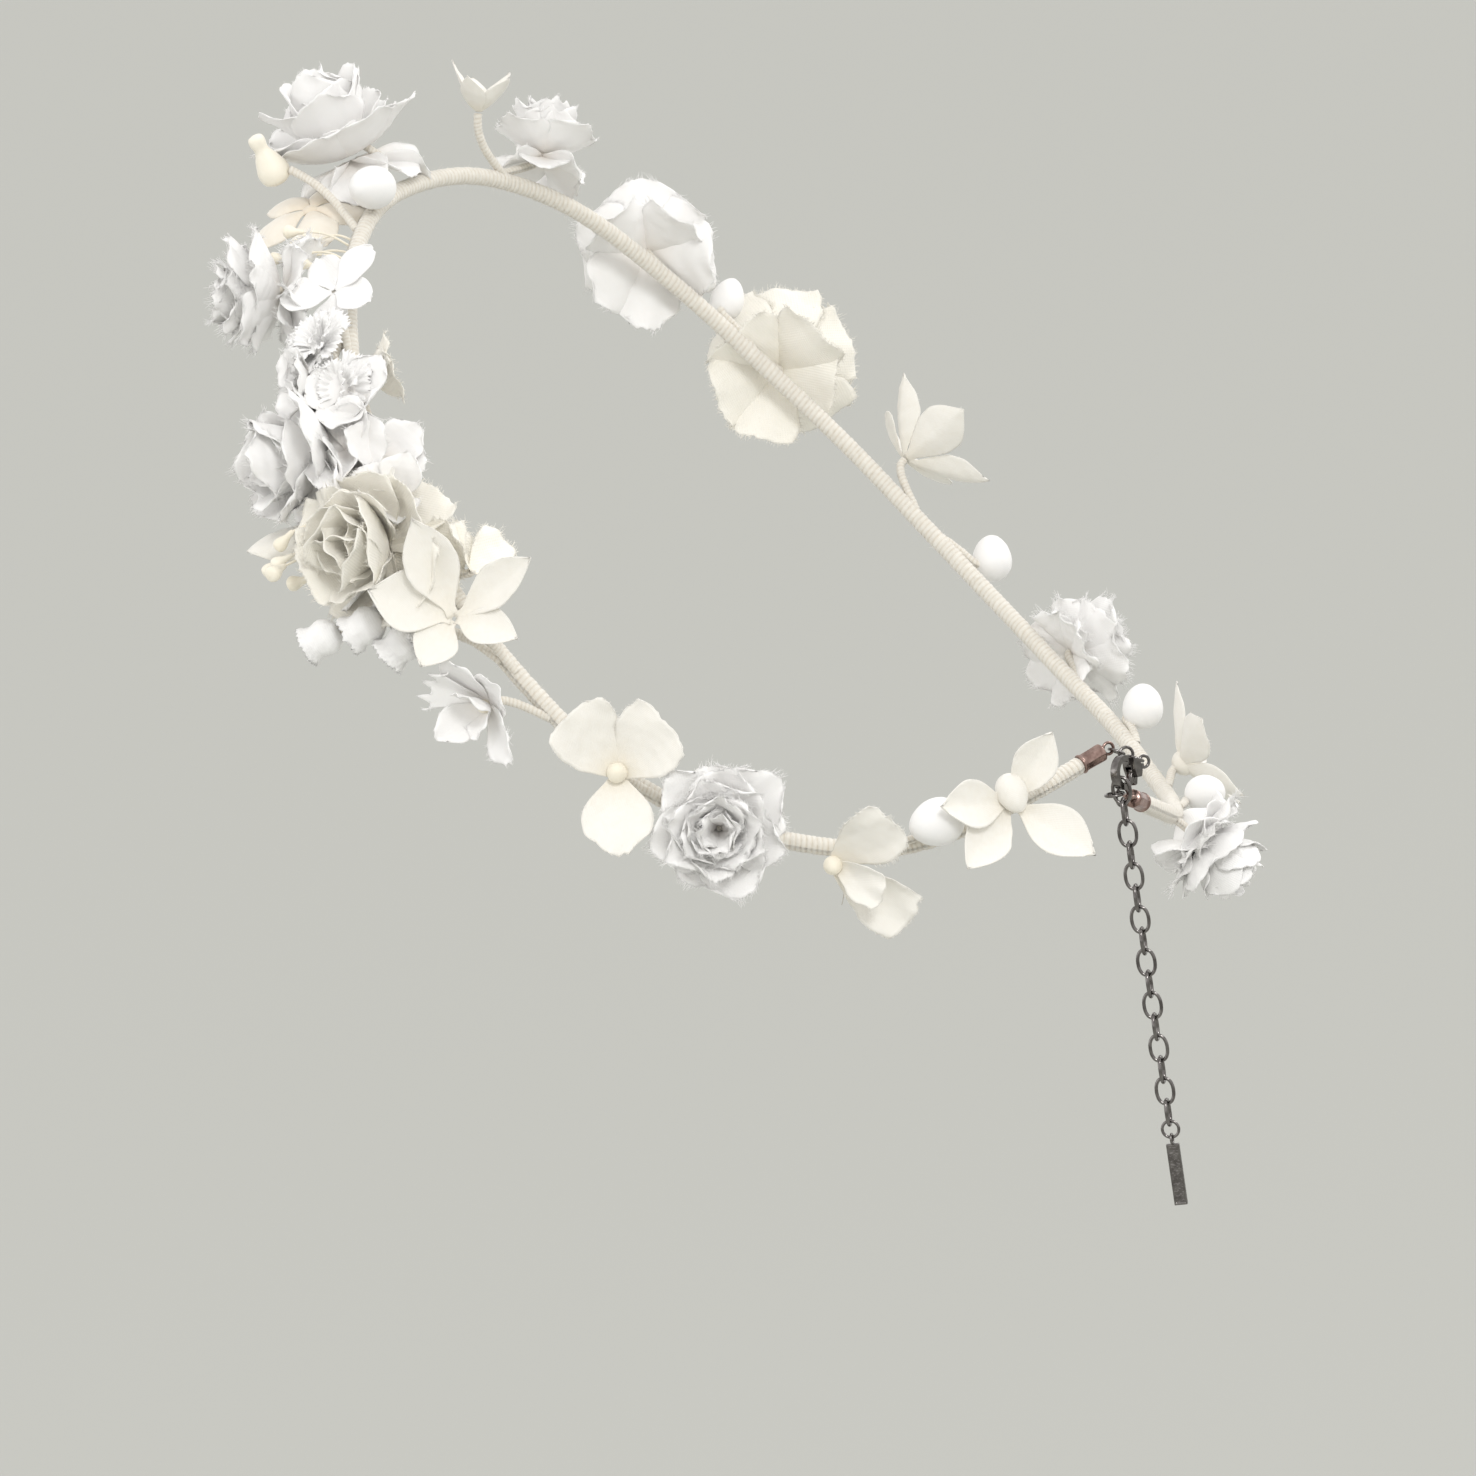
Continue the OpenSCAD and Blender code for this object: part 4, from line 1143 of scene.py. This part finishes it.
def make_cap(name, t_end, inward, eye_axis):
    """A fluted end cap: a lip over the wrap, eight flats, a domed end and its eye."""
    end = band_point(t_end)
    way = unit(end - band_point(t_end + inward * 0.1))
    seat = facing(end - CAP_GRIP * way, way)
    profile = np.array(curve_profile([
        (1.55, -0.05), (1.88, 0), (1.92, 0.35), (1.8, 0.6), (1.8, 2.6), (1.86, 4.4), (1.7, 5.1), (0.9, 5.5),
        (0.03, 5.5),
    ], 40))
    a = np.linspace(0, TAU, 96, endpoint=False)[None, :]
    radii, heights = profile[:, :1], profile[:, 1:]
    flats = (a * 8 / TAU) % 1.0 - 0.5
    flat = np.cos(math.pi / 8) / np.cos(flats * TAU / 8)
    body_share = smooth_step(heights, 0.5, 0.8) * (1 - smooth_step(heights, 4.6, 5.2))
    r = radii * (1 - body_share * (1 - flat) * 0.9)
    local = np.stack([r * np.cos(a), r * np.sin(a), heights + 0 * a], -1)
    shape = Shape()
    shape.rings(seat.out(local), *blank(local))
    eye = end + (CAP_LEN - CAP_GRIP + 1.15) * way
    across = unit(np.cross(eye_axis, way))
    wire_loop(shape, eye, across, np.cross(eye_axis, across), EYE_R, EYE_R, EYE_WIRE)
    shape.make(name + "_fluted", copper, CROWN, [name])


make_cap("cap_left", T_LEFT, -1, small_axes @ np.array([0, -1.0, 0]))
make_cap("cap_right", T_RIGHT, 1, turn_y(CAP_RIGHT_EYE_LEAN) @ np.array([0, 0, 1.0]))


def make_end_bar():
    """A flat bar with a raised rim round a pebbled recess on both faces, under its eye."""
    rng = np.random.default_rng(71)
    low, high = (np.array(c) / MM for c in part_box("end_bar"))
    bar_len, bar_w, bar_t, lug_r, lug_wire = 12.0, 2.6, 1.0, 0.95, 0.5
    centre = 0.5 * (low + high)
    yaw = rad(CHAIN_YAW)
    across = -side_way(yaw)
    normal = np.array([math.cos(yaw), math.sin(yaw), 0])
    down = np.array([0, 0, -1.0])
    lug = np.array([centre[0], centre[1], high[2] - lug_r - 0.5 * lug_wire])
    top = lug + lug_r * down
    f, g = np.meshgrid(np.linspace(0, 1, 120), np.linspace(-1, 1, 30), indexing="ij")
    round_off = 1 - 0.04 * (np.abs(g) ** 12 + np.abs(2 * f - 1) ** 60)
    edge = np.minimum(0.5 * bar_w * (1 - np.abs(g)), bar_len * np.minimum(f, 1 - f))
    inside = smooth_step(edge, 0.32, 0.46)
    pebbles = np.zeros(f.shape)
    for _ in range(150):
        pf, pg = rng.uniform(0.03, 0.97), rng.uniform(-0.7, 0.7)
        far = ((f - pf) * bar_len) ** 2 + ((g - pg) * 0.5 * bar_w) ** 2
        pebbles = np.maximum(pebbles, np.exp(-far / 0.06))
    depth = inside * (0.2 - 0.07 * pebbles)
    rounded = 0.12 * (1 - smooth_step(edge, 0, 0.15))
    plan = (top + (f * bar_len)[..., None] * down + (g * 0.5 * bar_w * round_off)[..., None] * across)
    lift = (0.5 * bar_t - depth - rounded)[..., None] * normal
    shape = Shape()
    shape.sheet(plan + lift, plan - lift, *blank(plan))
    wire_loop(shape, lug, normal, -down, lug_r, lug_r, lug_wire)
    shape.make("end_bar_plate", gunmetal, "end_bar", ["end_bar"])


make_end_bar()


def finish_cad_metal(node, material):
    """A CAD solid that keeps its shape: rounded edges and a plated finish."""
    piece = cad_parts[node]
    piece.data.materials.clear()
    piece.data.materials.append(material)
    weld = piece.modifiers.new("weld", "WELD")
    weld.merge_threshold = 1e-6
    bevel = piece.modifiers.new("bevel", "BEVEL")
    bevel.width = 0.14 * MM
    bevel.segments = 3
    bevel.limit_method = "ANGLE"
    bevel.harden_normals = False


for node in ("clasp_body", "clasp_trigger", "clasp_pin"):
    finish_cad_metal(node, gunmetal)
finish_cad_metal("clasp_spring", steel)
finish_cad_metal("band_wire", steel)


# ---------- floor and light ----------
def add_floor():
    material, tree, shader = new_material("backdrop")
    shader.inputs["Base Color"].default_value = (0.545, 0.55, 0.517, 1)
    shader.inputs["Roughness"].default_value = 0.9
    shader.inputs["Specular IOR Level"].default_value = 0.1
    mesh = bpy.data.meshes.new("floor")
    far, low = 14.0, -1.1
    corners = [(-far, -far, low), (far, -far, low), (far, far, low), (-far, far, low)]
    mesh.from_pydata(corners, [], [(0, 1, 2, 3)])
    mesh.materials.append(material)
    floor = bpy.data.objects.new("floor", mesh)
    bpy.context.scene.collection.objects.link(floor)


def add_light(name, at, size, power, colour=(1, 1, 1)):
    data = bpy.data.lights.new(name, "AREA")
    data.shape = "DISK"
    data.size = size
    data.energy = power
    data.color = colour
    light = bpy.data.objects.new(name, data)
    light.location = at
    light.rotation_euler = (Vector((0, 0, -0.03)) - Vector(at)).to_track_quat("-Z", "Y").to_euler()
    bpy.context.scene.collection.objects.link(light)


def add_world():
    world = bpy.data.worlds.new("studio")
    world.use_nodes = True
    background = world.node_tree.nodes["Background"]
    background.inputs["Color"].default_value = (1, 0.99, 0.975, 1)
    background.inputs["Strength"].default_value = 1.02
    bpy.context.scene.world = world


add_floor()
add_world()
add_light("key", (1.5, 1.9, 1.6), 0.8, 27)
add_light("fill", (1.9, -1.2, 0.5), 1.5, 6)
add_light("rim", (-1.4, 0.8, 1.2), 0.9, 10)
bpy.context.scene.view_settings.view_transform = "Standard"
